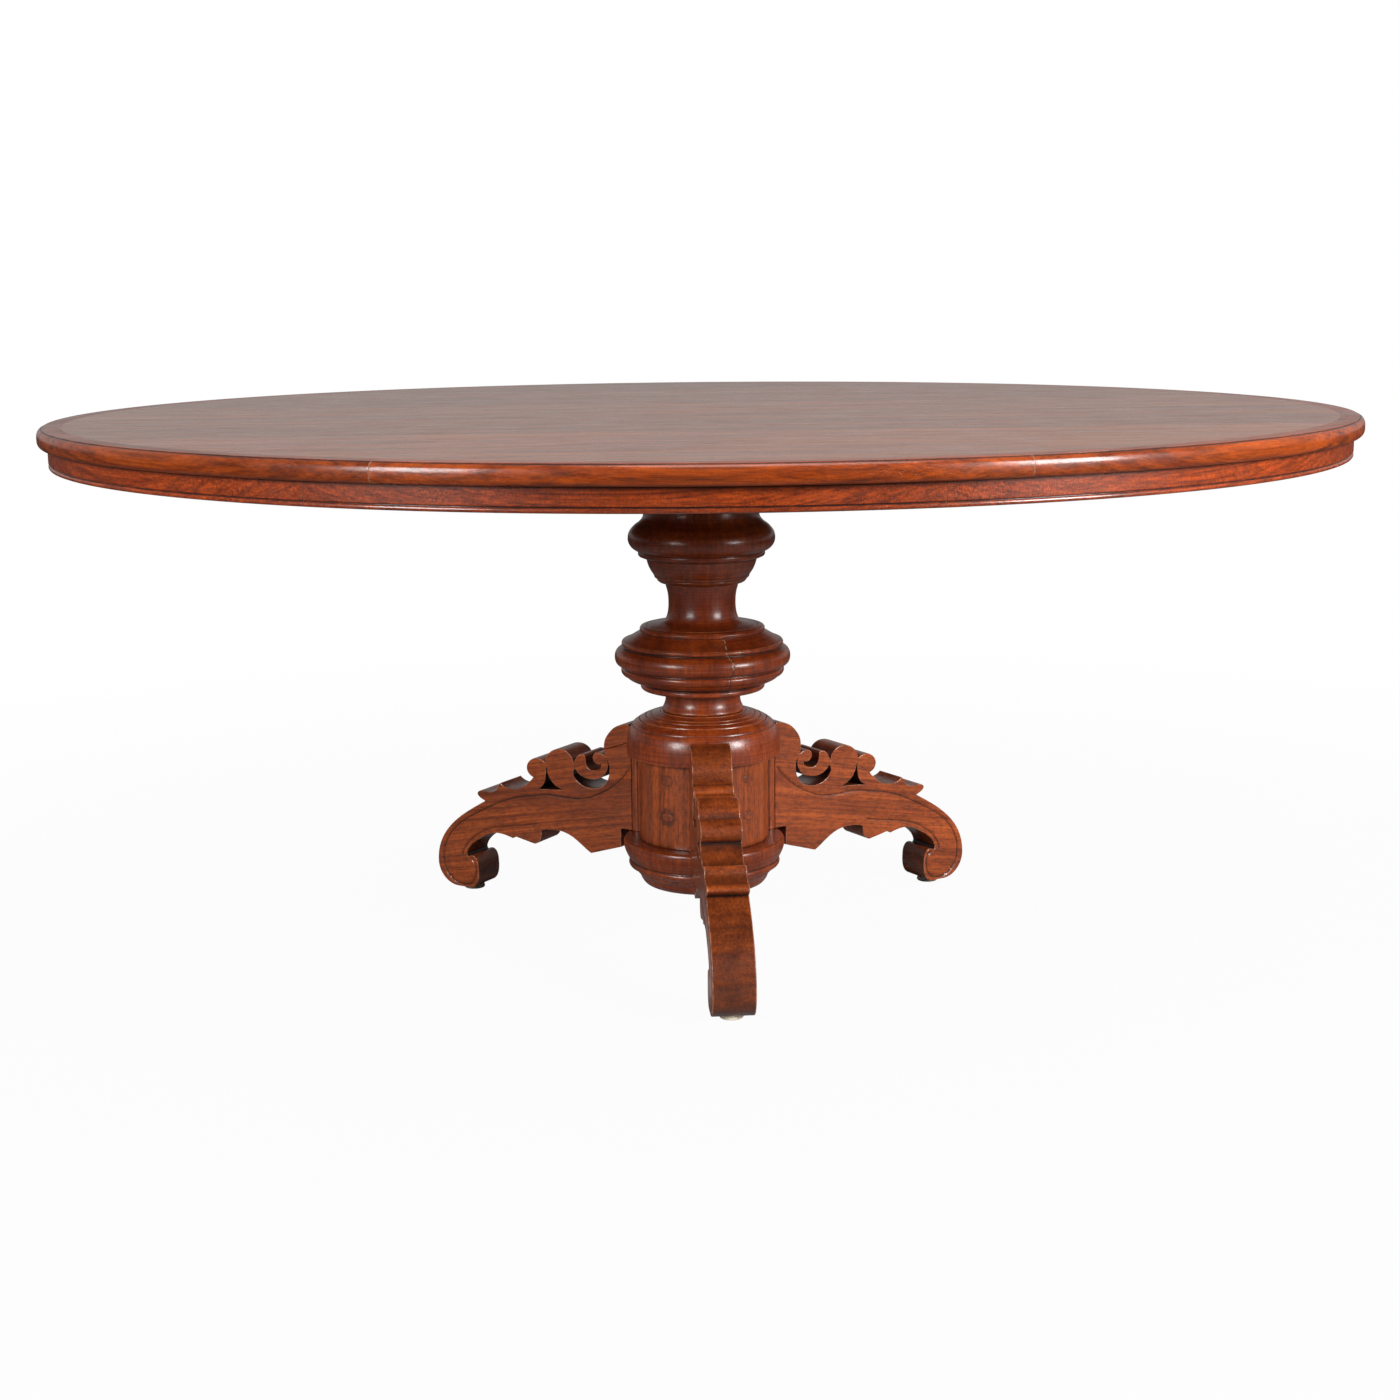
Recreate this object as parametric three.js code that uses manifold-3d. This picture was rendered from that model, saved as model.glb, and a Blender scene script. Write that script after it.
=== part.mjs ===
// Round pedestal dining table: a boarded round top with a moulded rim and apron,
// a turned column, and three sawn scroll legs tenoned into the column's drum.
// Millimetres, +Z up. The origin is on the floor under the column's axis; the front leg points to -Y.

import * as THREE from 'three';
import { mergeVertices } from 'three/addons/utils/BufferGeometryUtils.js';
import Module from 'manifold-3d';

const wasm = await Module();
wasm.setup();

// ---------------------------------------------------------------- driving dimensions

const GAP = 0.3;                    // glue line between touching pieces

const TABLE_HEIGHT = 760;
const TOP_RADIUS = 908;             // outside of the rim moulding
const BOARD_RADIUS = 876;           // boards end here, inside the rim moulding
const BOARD_THICKNESS = 24;
const BOARD_COUNT = 8;

const RIM_SEGMENTS = 8;
const RIM_FIRST_JOINT = -117;       // degrees, azimuth of a rim joint
const ARC_STEP = 4.5;               // degrees between facets of the rim and apron

const APRON_SEGMENTS = 8;
const APRON_RADIUS = 895;
const APRON_THICKNESS = 22;
const APRON_HEIGHT = 28.2;
const APRON_FIRST_JOINT = -78;      // degrees, azimuth of an apron joint

const BEARER_WIDTH = 80;
const BEARER_DEPTH = 28;
const BEARER_LENGTH = 1600;
const BLOCK_WIDTH = 300;            // between the bearers
const BLOCK_LENGTH = 340;
const BLOCK_DEPTH = 48;
const SCREW_ROWS = [-547, -110, 110, 547];   // along each bearer
const SCREW_LENGTH = 44;

const TURNING_FACETS = 36;
const SPIGOT_RADIUS = 28;
const BLOCK_SPIGOT_RADIUS = 40;
const CAPITAL_BOTTOM = 513.8;
const CAP_BOTTOM = 261.5;
const CAP_RADIUS = 112.8;
const CAP_TOP = 326.5;
const DRUM_RADIUS = 95.5;
const DRUM_BOTTOM = 135.5;
const PLINTH_BOTTOM = 90;
const DISC_BOTTOM = 67;

const LEG_AZIMUTHS = { front: -90, right: 27.5, left: 146 };   // degrees, set out by hand
const LEG_THICKNESS = 57;
const STILE_FACE = 108;             // distance of the stiles' outer face from the axis
const TENON_WIDTH = 24;
const TENON_END = 52;               // distance of the tenons' inner end from the axis
const TENON_BOTTOM = 156;
const TENON_TOP = 252;
const PEG_RADIUS = 6;
const PEG_DISTANCE = 75;            // distance of the pegs from the axis
const PEG_HEIGHTS = { lower: 182, upper: 236 };

const FOOT_RADIUS = 38.5;
const PAD_RADIUS = 16;
const PAD_THICKNESS = 6.5;
const PAD_DISTANCE = 419.5;           // distance of the pads' centres from the axis

// ---------------------------------------------------------------- materials

function wood(color, roughness) {
  return new THREE.MeshStandardMaterial({ color, roughness, metalness: 0 });
}

const topWood = wood(0x8a4a2c, 0.3);
const rimWood = wood(0xa04a24, 0.3);
const columnWood = wood(0x6e2f1b, 0.3);
const legWood = wood(0x8a4428, 0.35);
const hiddenWood = wood(0x8c5a3a, 0.7);
const pegWood = wood(0x4a2216, 0.5);
const screwSteel = new THREE.MeshStandardMaterial({ color: 0x5c5650, roughness: 0.5, metalness: 1 });
const padFelt = new THREE.MeshStandardMaterial({ color: 0xd8cdb8, roughness: 0.95, metalness: 0 });

// ---------------------------------------------------------------- helpers

const table = new THREE.Group();

function addPiece(name, geometry, material) {
  const mesh = new THREE.Mesh(geometry, material);
  mesh.name = name;
  table.add(mesh);
  return mesh;
}

// A closed geometry as a manifold-3d solid, for cuts and joins.
function toSolid(geometry) {
  const bare = geometry.clone();
  bare.deleteAttribute('normal');
  bare.deleteAttribute('uv');
  const merged = mergeVertices(bare, 1e-4);
  const mesh = new wasm.Mesh({
    numProp: 3,
    vertProperties: new Float32Array(merged.attributes.position.array),
    triVerts: new Uint32Array(merged.index.array),
  });
  return new wasm.Manifold(mesh);
}

function toGeometry(solid) {
  const mesh = solid.getMesh();
  const geometry = new THREE.BufferGeometry();
  geometry.setAttribute('position', new THREE.BufferAttribute(mesh.vertProperties, 3));
  geometry.setIndex(new THREE.BufferAttribute(mesh.triVerts, 1));
  geometry.computeVertexNormals();
  return geometry;
}

// A turned piece about the Z axis. The profile is a list of [radius, height], bottom to top,
// and the ends are joined to the axis.
function turned(profile, facets = TURNING_FACETS) {
  const bottom = [0, profile[0][1]];
  const top = [0, profile[profile.length - 1][1]];
  const points = [bottom, ...profile, top].map(([r, z]) => new THREE.Vector2(r, z));
  const geometry = new THREE.LatheGeometry(points, facets);
  geometry.rotateX(Math.PI / 2);
  return geometry;
}

function cylinder(radius, bottom, top, facets = TURNING_FACETS) {
  return turned([[radius, bottom], [radius, top]], facets);
}

// A cutter whose flats clear a faceted cylinder of the given radius by the glue line.
function clearanceCylinder(radius, bottom, top, facets = TURNING_FACETS) {
  const cutRadius = (radius + GAP) / Math.cos(Math.PI / facets);
  return toSolid(cylinder(cutRadius, bottom, top, facets));
}

function box(xRange, yRange, zRange) {
  const size = [xRange, yRange, zRange].map(([low, high]) => high - low);
  const centre = [xRange, yRange, zRange].map(([low, high]) => (high + low) / 2);
  const geometry = new THREE.BoxGeometry(...size);
  geometry.translate(...centre);
  return geometry;
}

// Turns a geometry about the Z axis from the +X direction to an azimuth in degrees.
function turnedTo(azimuth, geometry) {
  geometry.rotateZ(THREE.MathUtils.degToRad(azimuth));
  return geometry;
}

// Curved stretch of moulding: a [radius, height] profile swept about the Z axis between two
// azimuths. The profile runs anticlockwise with the radius to the right and the height up.
function curvedMoulding(profile, startAzimuth, endAzimuth) {
  const steps = Math.round((endAzimuth - startAzimuth) / ARC_STEP);
  const positions = [];
  const indices = [];
  for (let step = 0; step <= steps; step++) {
    const fraction = step / steps;
    const angle = THREE.MathUtils.degToRad(THREE.MathUtils.lerp(startAzimuth, endAzimuth, fraction));
    for (const [radius, height] of profile) {
      positions.push(radius * Math.cos(angle), radius * Math.sin(angle), height);
    }
  }
  const count = profile.length;
  for (let step = 0; step < steps; step++) {
    for (let i = 0; i < count; i++) {
      const here = step * count + i;
      const next = step * count + ((i + 1) % count);
      indices.push(here, next + count, next);
      indices.push(here, here + count, next + count);
    }
  }
  const outline = profile.map(([radius, height]) => new THREE.Vector2(radius, height));
  for (const [a, b, c] of THREE.ShapeUtils.triangulateShape(outline, [])) {
    const last = steps * count;
    indices.push(a, b, c);
    indices.push(last + a, last + c, last + b);
  }
  const geometry = new THREE.BufferGeometry();
  geometry.setAttribute('position', new THREE.Float32BufferAttribute(positions, 3));
  geometry.setIndex(indices);
  geometry.computeVertexNormals();
  return geometry;
}

// A joint gap between segments, as half an angle in degrees at the outer radius.
function halfGapAngle(radius) {
  return THREE.MathUtils.radToDeg(GAP / 2 / radius);
}

// ---------------------------------------------------------------- top

const boardBottom = TABLE_HEIGHT - BOARD_THICKNESS;
const bearerBottom = boardBottom - GAP - BEARER_DEPTH;
const bearerCentre = BLOCK_WIDTH / 2 + GAP + BEARER_WIDTH / 2;

// Countersunk wood screw, pointing up, its head flush with the underside of a bearer.
function screwSolid(x, y, clearance) {
  const head = 4.6 + clearance;
  const shank = 2.4 + clearance;
  const bottom = bearerBottom + 0.4 - (clearance > 0 ? 1 : 0);
  const top = bearerBottom + SCREW_LENGTH + clearance;
  const profile = [[head, bottom], [head, bearerBottom + 1.2], [shank, bearerBottom + 4.5],
    [shank, top - 6], [0.6, top]];
  const geometry = turned(profile, 8);
  geometry.translate(x, y, 0);
  return toSolid(geometry);
}

function screwPlaces() {
  const places = [];
  for (const side of [-1, 1]) {
    for (const y of SCREW_ROWS) {
      places.push([side * bearerCentre, y]);
    }
  }
  return places;
}

// Board along X between two heights in Y, with its ends following the round of the top.
function boardShape(yLow, yHigh) {
  const low = Math.asin(yLow / BOARD_RADIUS);
  const high = Math.asin(yHigh / BOARD_RADIUS);
  const shape = new THREE.Shape();
  shape.absarc(0, 0, BOARD_RADIUS, low, high, false);
  shape.absarc(0, 0, BOARD_RADIUS, Math.PI - high, Math.PI - low, false);
  return shape;
}

function addBoards() {
  const pitch = (2 * BOARD_RADIUS) / BOARD_COUNT;
  for (let i = 0; i < BOARD_COUNT; i++) {
    const yLow = -BOARD_RADIUS + i * pitch + (i > 0 ? GAP / 2 : 0);
    const yHigh = -BOARD_RADIUS + (i + 1) * pitch - (i < BOARD_COUNT - 1 ? GAP / 2 : 0);
    const geometry = new THREE.ExtrudeGeometry(boardShape(yLow, yHigh), {
      depth: BOARD_THICKNESS, bevelEnabled: false, curveSegments: 6,
    });
    geometry.translate(0, 0, boardBottom);
    let board = toSolid(geometry);
    for (const [x, y] of screwPlaces()) {
      if (y > yLow && y < yHigh) {
        board = board.subtract(screwSolid(x, y, GAP));
      }
    }
    addPiece(`top_board_${i + 1}`, toGeometry(board), topWood);
  }
}

function addRim() {
  const inner = (BOARD_RADIUS + GAP) / Math.cos(THREE.MathUtils.degToRad(ARC_STEP / 2));
  const low = TABLE_HEIGHT - BOARD_THICKNESS;
  const profile = [
    [inner, low],
    [TOP_RADIUS - 6, low],
    [TOP_RADIUS - 3.4, low + 1],
    [TOP_RADIUS - 1.1, low + 3.4],
    [TOP_RADIUS, low + 7],
    [TOP_RADIUS, low + 13],
    [TOP_RADIUS - 1.6, low + 19.6],
    [TOP_RADIUS - 3.4, low + 21.8],
    [TOP_RADIUS - 7, low + 23.3],
    [TOP_RADIUS - 7.2, TABLE_HEIGHT],
    [inner, TABLE_HEIGHT],
  ];
  const sweep = 360 / RIM_SEGMENTS;
  for (let i = 0; i < RIM_SEGMENTS; i++) {
    const start = RIM_FIRST_JOINT + i * sweep + halfGapAngle(BOARD_RADIUS);
    const end = RIM_FIRST_JOINT + (i + 1) * sweep - halfGapAngle(BOARD_RADIUS);
    addPiece(`rim_moulding_${i + 1}`, curvedMoulding(profile, start, end), rimWood);
  }
}

function addApron() {
  const high = TABLE_HEIGHT - BOARD_THICKNESS - GAP;
  const low = high - APRON_HEIGHT;
  const inner = APRON_RADIUS - APRON_THICKNESS;
  const profile = [
    [inner, low],
    [APRON_RADIUS - 2.6, low],
    [APRON_RADIUS - 0.4, low + 1.4],
    [APRON_RADIUS, low + 3.2],
    [APRON_RADIUS - 0.4, low + 5],
    [APRON_RADIUS - 1.8, low + 5.8],
    [APRON_RADIUS - 1.8, low + 6.8],
    [APRON_RADIUS, low + 7.4],
    [APRON_RADIUS, high],
    [inner, high],
  ];
  const sweep = 360 / APRON_SEGMENTS;
  for (let i = 0; i < APRON_SEGMENTS; i++) {
    const start = APRON_FIRST_JOINT + i * sweep + halfGapAngle(inner);
    const end = APRON_FIRST_JOINT + (i + 1) * sweep - halfGapAngle(inner);
    addPiece(`apron_segment_${i + 1}`, curvedMoulding(profile, start, end), rimWood);
  }
}

// Bearer along Y, its ends sloped up towards the boards.
function bearerGeometry(centreX) {
  const half = BEARER_LENGTH / 2;
  const slope = 40;
  const shape = new THREE.Shape();
  shape.moveTo(-half + slope, 0);
  shape.lineTo(half - slope, 0);
  shape.lineTo(half, BEARER_DEPTH * 0.6);
  shape.lineTo(half, BEARER_DEPTH);
  shape.lineTo(-half, BEARER_DEPTH);
  shape.lineTo(-half, BEARER_DEPTH * 0.6);
  const geometry = new THREE.ExtrudeGeometry(shape, { depth: BEARER_WIDTH, bevelEnabled: false });
  geometry.translate(0, 0, -BEARER_WIDTH / 2);
  geometry.rotateX(Math.PI / 2);
  geometry.rotateZ(Math.PI / 2);
  geometry.translate(centreX, 0, bearerBottom);
  return geometry;
}

function addUnderframe() {
  const blockBottom = boardBottom - GAP - BLOCK_DEPTH;
  for (const [name, side] of [['left_bearer', -1], ['right_bearer', 1]]) {
    let bearer = toSolid(bearerGeometry(side * bearerCentre));
    for (const [x, y] of screwPlaces()) {
      if (x * side > 0) {
        bearer = bearer.subtract(screwSolid(x, y, GAP));
      }
    }
    addPiece(name, toGeometry(bearer), hiddenWood);
  }
  const blockBox = box([-BLOCK_WIDTH / 2, BLOCK_WIDTH / 2], [-BLOCK_LENGTH / 2, BLOCK_LENGTH / 2],
    [blockBottom, boardBottom - GAP]);
  const bore = clearanceCylinder(BLOCK_SPIGOT_RADIUS, blockBottom - 5, blockBottom + 40);
  addPiece('top_block', toGeometry(toSolid(blockBox).subtract(bore)), hiddenWood);
  screwPlaces().forEach(([x, y], i) => {
    addPiece(`bearer_screw_${i + 1}`, toGeometry(screwSolid(x, y, 0)), screwSteel);
  });
  return blockBottom;
}

// ---------------------------------------------------------------- column

function addColumn(blockBottom) {
  const capitalTop = blockBottom - GAP;
  const capital = [
    [56, CAPITAL_BOTTOM], [63, CAPITAL_BOTTOM + 3], [68.6, CAPITAL_BOTTOM + 6.6],
    [71.2, CAPITAL_BOTTOM + 11], [75.5, CAPITAL_BOTTOM + 20], [79.7, CAPITAL_BOTTOM + 32],
    [80.4, CAPITAL_BOTTOM + 35], [85.4, CAPITAL_BOTTOM + 38], [91.2, CAPITAL_BOTTOM + 41],
    [92.4, CAPITAL_BOTTOM + 46.5], [99.4, CAPITAL_BOTTOM + 51], [105, CAPITAL_BOTTOM + 58],
    [106.6, CAPITAL_BOTTOM + 66], [104, CAPITAL_BOTTOM + 75], [97, CAPITAL_BOTTOM + 83],
    [88, CAPITAL_BOTTOM + 90], [84, CAPITAL_BOTTOM + 99], [84, CAPITAL_BOTTOM + 122],
    [92, CAPITAL_BOTTOM + 134], [100, CAPITAL_BOTTOM + 140], [100, capitalTop],
    [BLOCK_SPIGOT_RADIUS, capitalTop], [BLOCK_SPIGOT_RADIUS, capitalTop + 38],
  ];
  const capitalBore = clearanceCylinder(SPIGOT_RADIUS, CAPITAL_BOTTOM - 5, CAPITAL_BOTTOM + 80.4);
  addPiece('column_capital', toGeometry(toSolid(turned(capital)).subtract(capitalBore)), columnWood);

  const shaftTop = CAPITAL_BOTTOM - GAP;
  const shaftFoot = CAP_TOP + GAP;
  const shaft = [
    [SPIGOT_RADIUS, 100], [SPIGOT_RADIUS, shaftFoot], [59, shaftFoot], [56.5, 332],
    [54.6, 341], [54.6, 355], [60, 357], [86, 357.3], [88, 359], [93.8, 366], [97, 369.5], [107, 374],
    [114, 380], [118.5, 386], [118.5, 392], [125.5, 398], [127.9, 408], [124.5, 416],
    [117.5, 421], [114.5, 423.5], [116.5, 428], [108, 434.5], [98, 440.5], [90.5, 444],
    [90.5, 449.5], [86, 452], [62, 455.5], [53.5, 459], [50.5, 467], [48.8, 480], [49.2, 496],
    [52, 507], [52, 511.5], [50.5, shaftTop], [SPIGOT_RADIUS, shaftTop],
    [SPIGOT_RADIUS, CAPITAL_BOTTOM + 80],
  ];
  addPiece('column_shaft', turned(shaft), columnWood);

  const cap = [
    [CAP_RADIUS - 2, CAP_BOTTOM], [CAP_RADIUS, CAP_BOTTOM + 2], [CAP_RADIUS, 275],
    [112, 284], [109.5, 295], [105, 304], [92.6, 317], [74, 323], [56, CAP_TOP],
  ];
  const capBore = clearanceCylinder(SPIGOT_RADIUS, CAP_BOTTOM - 5, CAP_TOP + 5);
  addPiece('base_cap', toGeometry(toSolid(turned(cap)).subtract(capBore)), columnWood);

  const drumTop = CAP_BOTTOM - GAP;
  let drum = toSolid(cylinder(DRUM_RADIUS, DRUM_BOTTOM, drumTop));
  drum = drum.subtract(clearanceCylinder(SPIGOT_RADIUS, DRUM_BOTTOM - 5, drumTop + 5));
  for (const azimuth of Object.values(LEG_AZIMUTHS)) {
    const half = TENON_WIDTH / 2 + GAP;
    const mortise = box([TENON_END - GAP, DRUM_RADIUS + 5], [-half, half],
      [TENON_BOTTOM - GAP, TENON_TOP + GAP]);
    drum = drum.subtract(toSolid(turnedTo(azimuth, mortise)));
    for (const height of Object.values(PEG_HEIGHTS)) {
      drum = drum.subtract(pegCutter(azimuth, height));
    }
  }
  addPiece('base_drum', toGeometry(drum), columnWood);

  const plinthTop = DRUM_BOTTOM - GAP;
  const plinth = [
    [104, PLINTH_BOTTOM], [108.5, PLINTH_BOTTOM + 4], [109.5, PLINTH_BOTTOM + 11],
    [113.5, PLINTH_BOTTOM + 19], [117, PLINTH_BOTTOM + 27], [119, PLINTH_BOTTOM + 34],
    [119, PLINTH_BOTTOM + 39], [117.6, PLINTH_BOTTOM + 43], [114.5, plinthTop],
  ];
  const plinthBore = clearanceCylinder(SPIGOT_RADIUS, 99.5, plinthTop + 5);
  addPiece('plinth_moulding', toGeometry(toSolid(turned(plinth)).subtract(plinthBore)), columnWood);

  const disc = [
    [78, DISC_BOTTOM], [85.5, DISC_BOTTOM + 1], [91, DISC_BOTTOM + 5], [94, DISC_BOTTOM + 9.5],
    [95, DISC_BOTTOM + 13], [98, DISC_BOTTOM + 16.5], [101, DISC_BOTTOM + 20],
    [101, PLINTH_BOTTOM - GAP],
  ];
  addPiece('bottom_disc', turned(disc), columnWood);
}

// ---------------------------------------------------------------- legs

// Peg along a leg's own sideways direction, at PEG_DISTANCE from the axis.
function pegGeometry(azimuth, height, radius, halfLength) {
  const geometry = new THREE.CylinderGeometry(radius, radius, 2 * halfLength, 12);
  geometry.translate(PEG_DISTANCE, 0, height);
  return turnedTo(azimuth, geometry);
}

function pegCutter(azimuth, height) {
  const radius = (PEG_RADIUS + GAP) / Math.cos(Math.PI / 12);
  return toSolid(pegGeometry(azimuth, height, radius, DRUM_RADIUS));
}

// Side view of a leg: x is the distance from the column's axis and y the height.
function legShape() {
  const footBottom = PAD_THICKNESS + GAP;
  const shape = new THREE.Shape();
  // inner edge, notch over the plinth, and the pointed lower corner
  shape.moveTo(STILE_FACE + GAP, DRUM_BOTTOM + 0.5);
  shape.lineTo(127.5, DRUM_BOTTOM + 0.5);
  shape.lineTo(127.5, 107.5);
  shape.lineTo(181.5, 91);
  // underside: hollow, leaf drop, small step, then down to the scroll
  shape.bezierCurveTo(200, 101, 214, 119, 243, 119.5);
  shape.quadraticCurveTo(262, 119.5, 271, 115.5);
  shape.quadraticCurveTo(270, 97, 284, 93);
  shape.quadraticCurveTo(300, 96, 320, 100.5);
  shape.lineTo(325, 97);
  shape.bezierCurveTo(345, 103, 360, 104, 374, 96);
  shape.bezierCurveTo(392, 87, 410, 76, 412.5, 62);
  // inward-curled scroll, with a flat for the pad
  shape.quadraticCurveTo(412.5, 56.5, 408, 58.5);
  shape.bezierCurveTo(399, 63, 391, 56, 391, 40);
  shape.bezierCurveTo(389.5, 22, 394, 8, 409, footBottom);
  shape.lineTo(430, footBottom);
  shape.absarc(430, footBottom + FOOT_RADIUS, FOOT_RADIUS, -Math.PI / 2, 0, false);
  // outer edge up to the crest
  shape.bezierCurveTo(468.5, 100, 415, 128, 375, 151);
  // two leaf tips
  shape.quadraticCurveTo(391, 157, 389, 163);
  shape.quadraticCurveTo(386, 168, 376, 166.5);
  shape.quadraticCurveTo(360, 164, 352, 173);
  shape.quadraticCurveTo(350, 180, 345, 183);
  shape.quadraticCurveTo(336, 174, 318, 176);
  shape.quadraticCurveTo(300, 179, 284, 198.5);
  // small lobe, then big lobe
  shape.bezierCurveTo(300, 204, 299, 222, 283, 228);
  shape.quadraticCurveTo(271, 231, 262, 224.5);
  shape.bezierCurveTo(259, 240, 246, 248, 232, 247.5);
  shape.bezierCurveTo(219, 247, 210, 238, 209.5, 227);
  // C-scroll: thick end, eye, ball curl
  shape.bezierCurveTo(206, 240, 198, 246, 190, 243);
  shape.quadraticCurveTo(188, 240, 188, 235);
  shape.bezierCurveTo(188, 226, 183, 220.5, 175, 221);
  shape.bezierCurveTo(166, 221.5, 160, 225, 160.5, 231.5);
  shape.bezierCurveTo(168, 228, 176, 233, 175.5, 241);
  shape.bezierCurveTo(174, 249, 165, 252, 153, 245);
  // shoulder lobe against the cap
  shape.bezierCurveTo(156.5, 254, 157, 268, 148.5, 278);
  shape.bezierCurveTo(141, 289, 130, 296.5, 113, 297);
  shape.lineTo(STILE_FACE + GAP, 297);
  shape.holes.push(crescentHole(), triangleHole());
  return shape;
}

// Gap between the C-scroll and the leg's back.
function crescentHole() {
  const hole = new THREE.Path();
  hole.moveTo(150.4, 238);
  hole.quadraticCurveTo(148.2, 234, 148.6, 229);
  hole.bezierCurveTo(151, 215, 163, 206.5, 180, 206.5);
  hole.bezierCurveTo(194, 206.5, 203, 212, 207.5, 220);
  hole.quadraticCurveTo(212, 215, 210, 209);
  hole.bezierCurveTo(204, 199, 195, 193, 178, 192.5);
  hole.bezierCurveTo(160, 192, 144, 205, 146.4, 229);
  hole.quadraticCurveTo(147, 235, 150.4, 238);
  return hole;
}

// Gap between the two lobes.
function triangleHole() {
  const hole = new THREE.Path();
  hole.moveTo(259.2, 216);
  hole.bezierCurveTo(256.5, 200, 249, 189, 230, 184.2);
  hole.quadraticCurveTo(253, 183.5, 276, 180.5);
  hole.bezierCurveTo(262, 187, 259.6, 198, 260.6, 216);
  return hole;
}

function legSolid(azimuth) {
  const geometry = new THREE.ExtrudeGeometry(legShape(), {
    depth: LEG_THICKNESS, bevelEnabled: false, curveSegments: 4,
  });
  geometry.translate(0, 0, -LEG_THICKNESS / 2);
  geometry.rotateX(Math.PI / 2);
  const tenon = box([TENON_END, STILE_FACE + 10], [-TENON_WIDTH / 2, TENON_WIDTH / 2],
    [TENON_BOTTOM, TENON_TOP]);
  let leg = toSolid(turnedTo(azimuth, geometry)).add(toSolid(turnedTo(azimuth, tenon)));
  leg = leg.subtract(clearanceCylinder(CAP_RADIUS, CAP_BOTTOM - GAP, CAP_TOP));
  for (const height of Object.values(PEG_HEIGHTS)) {
    leg = leg.subtract(pegCutter(azimuth, height));
  }
  return leg;
}

// Everything above the sloping glue line across a leg's shoulder.
function shoulderCutter(azimuth, offset) {
  const shape = new THREE.Shape();
  shape.moveTo(170, 249.5 + offset);
  shape.lineTo(170, 320);
  shape.lineTo(90, 320);
  shape.lineTo(90, 277 + offset);
  const geometry = new THREE.ExtrudeGeometry(shape, { depth: 80, bevelEnabled: false });
  geometry.translate(0, 0, -40);
  geometry.rotateX(Math.PI / 2);
  return toSolid(turnedTo(azimuth, geometry));
}

function stileGeometry(azimuth) {
  const half = LEG_THICKNESS / 2;
  const blank = box([80, STILE_FACE], [-half, half], [DRUM_BOTTOM, CAP_BOTTOM - GAP]);
  const slotHalf = TENON_WIDTH / 2 + GAP;
  const slot = box([70, STILE_FACE + 5], [-slotHalf, slotHalf], [TENON_BOTTOM - GAP, TENON_TOP + GAP]);
  const stile = toSolid(turnedTo(azimuth, blank))
    .subtract(toSolid(turnedTo(azimuth, slot)))
    .subtract(clearanceCylinder(DRUM_RADIUS, DRUM_BOTTOM - 5, CAP_BOTTOM + 5));
  return toGeometry(stile);
}

function addLegs() {
  for (const [side, azimuth] of Object.entries(LEG_AZIMUTHS)) {
    let leg = legSolid(azimuth);
    if (side === 'left') {
      const tip = leg.intersect(shoulderCutter(azimuth, GAP / 2));
      addPiece('left_leg_shoulder_tip', toGeometry(tip), legWood);
      leg = leg.subtract(shoulderCutter(azimuth, -GAP / 2));
    }
    addPiece(`${side}_leg`, toGeometry(leg), legWood);
    addPiece(`${side}_leg_stile`, stileGeometry(azimuth), legWood);
    const halfChord = Math.sqrt(DRUM_RADIUS ** 2 - (PEG_DISTANCE + PEG_RADIUS) ** 2);
    for (const [level, height] of Object.entries(PEG_HEIGHTS)) {
      const peg = pegGeometry(azimuth, height, PEG_RADIUS, halfChord);
      addPiece(`${side}_leg_${level}_peg`, peg, pegWood);
    }
    const pad = cylinder(PAD_RADIUS, 0, PAD_THICKNESS, 24);
    pad.translate(PAD_DISTANCE, 0, 0);
    addPiece(`${side}_foot_pad`, turnedTo(azimuth, pad), padFelt);
  }
}

// ---------------------------------------------------------------- assembly

addBoards();
addRim();
addApron();
const blockBottom = addUnderframe();
addColumn(blockBottom);
addLegs();

export default table;
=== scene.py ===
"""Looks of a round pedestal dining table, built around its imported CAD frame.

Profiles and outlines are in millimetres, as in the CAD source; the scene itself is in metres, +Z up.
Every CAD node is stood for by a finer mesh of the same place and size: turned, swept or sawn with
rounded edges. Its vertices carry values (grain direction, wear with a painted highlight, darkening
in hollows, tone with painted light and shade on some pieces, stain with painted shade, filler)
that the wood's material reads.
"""

from itertools import pairwise
from math import asin, atan2, ceil, cos, degrees, pi, radians, sin, sqrt

import bmesh
import bpy
import numpy as np
from mathutils import Matrix, Quaternion, Vector
from mathutils.geometry import delaunay_2d_cdt


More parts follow.
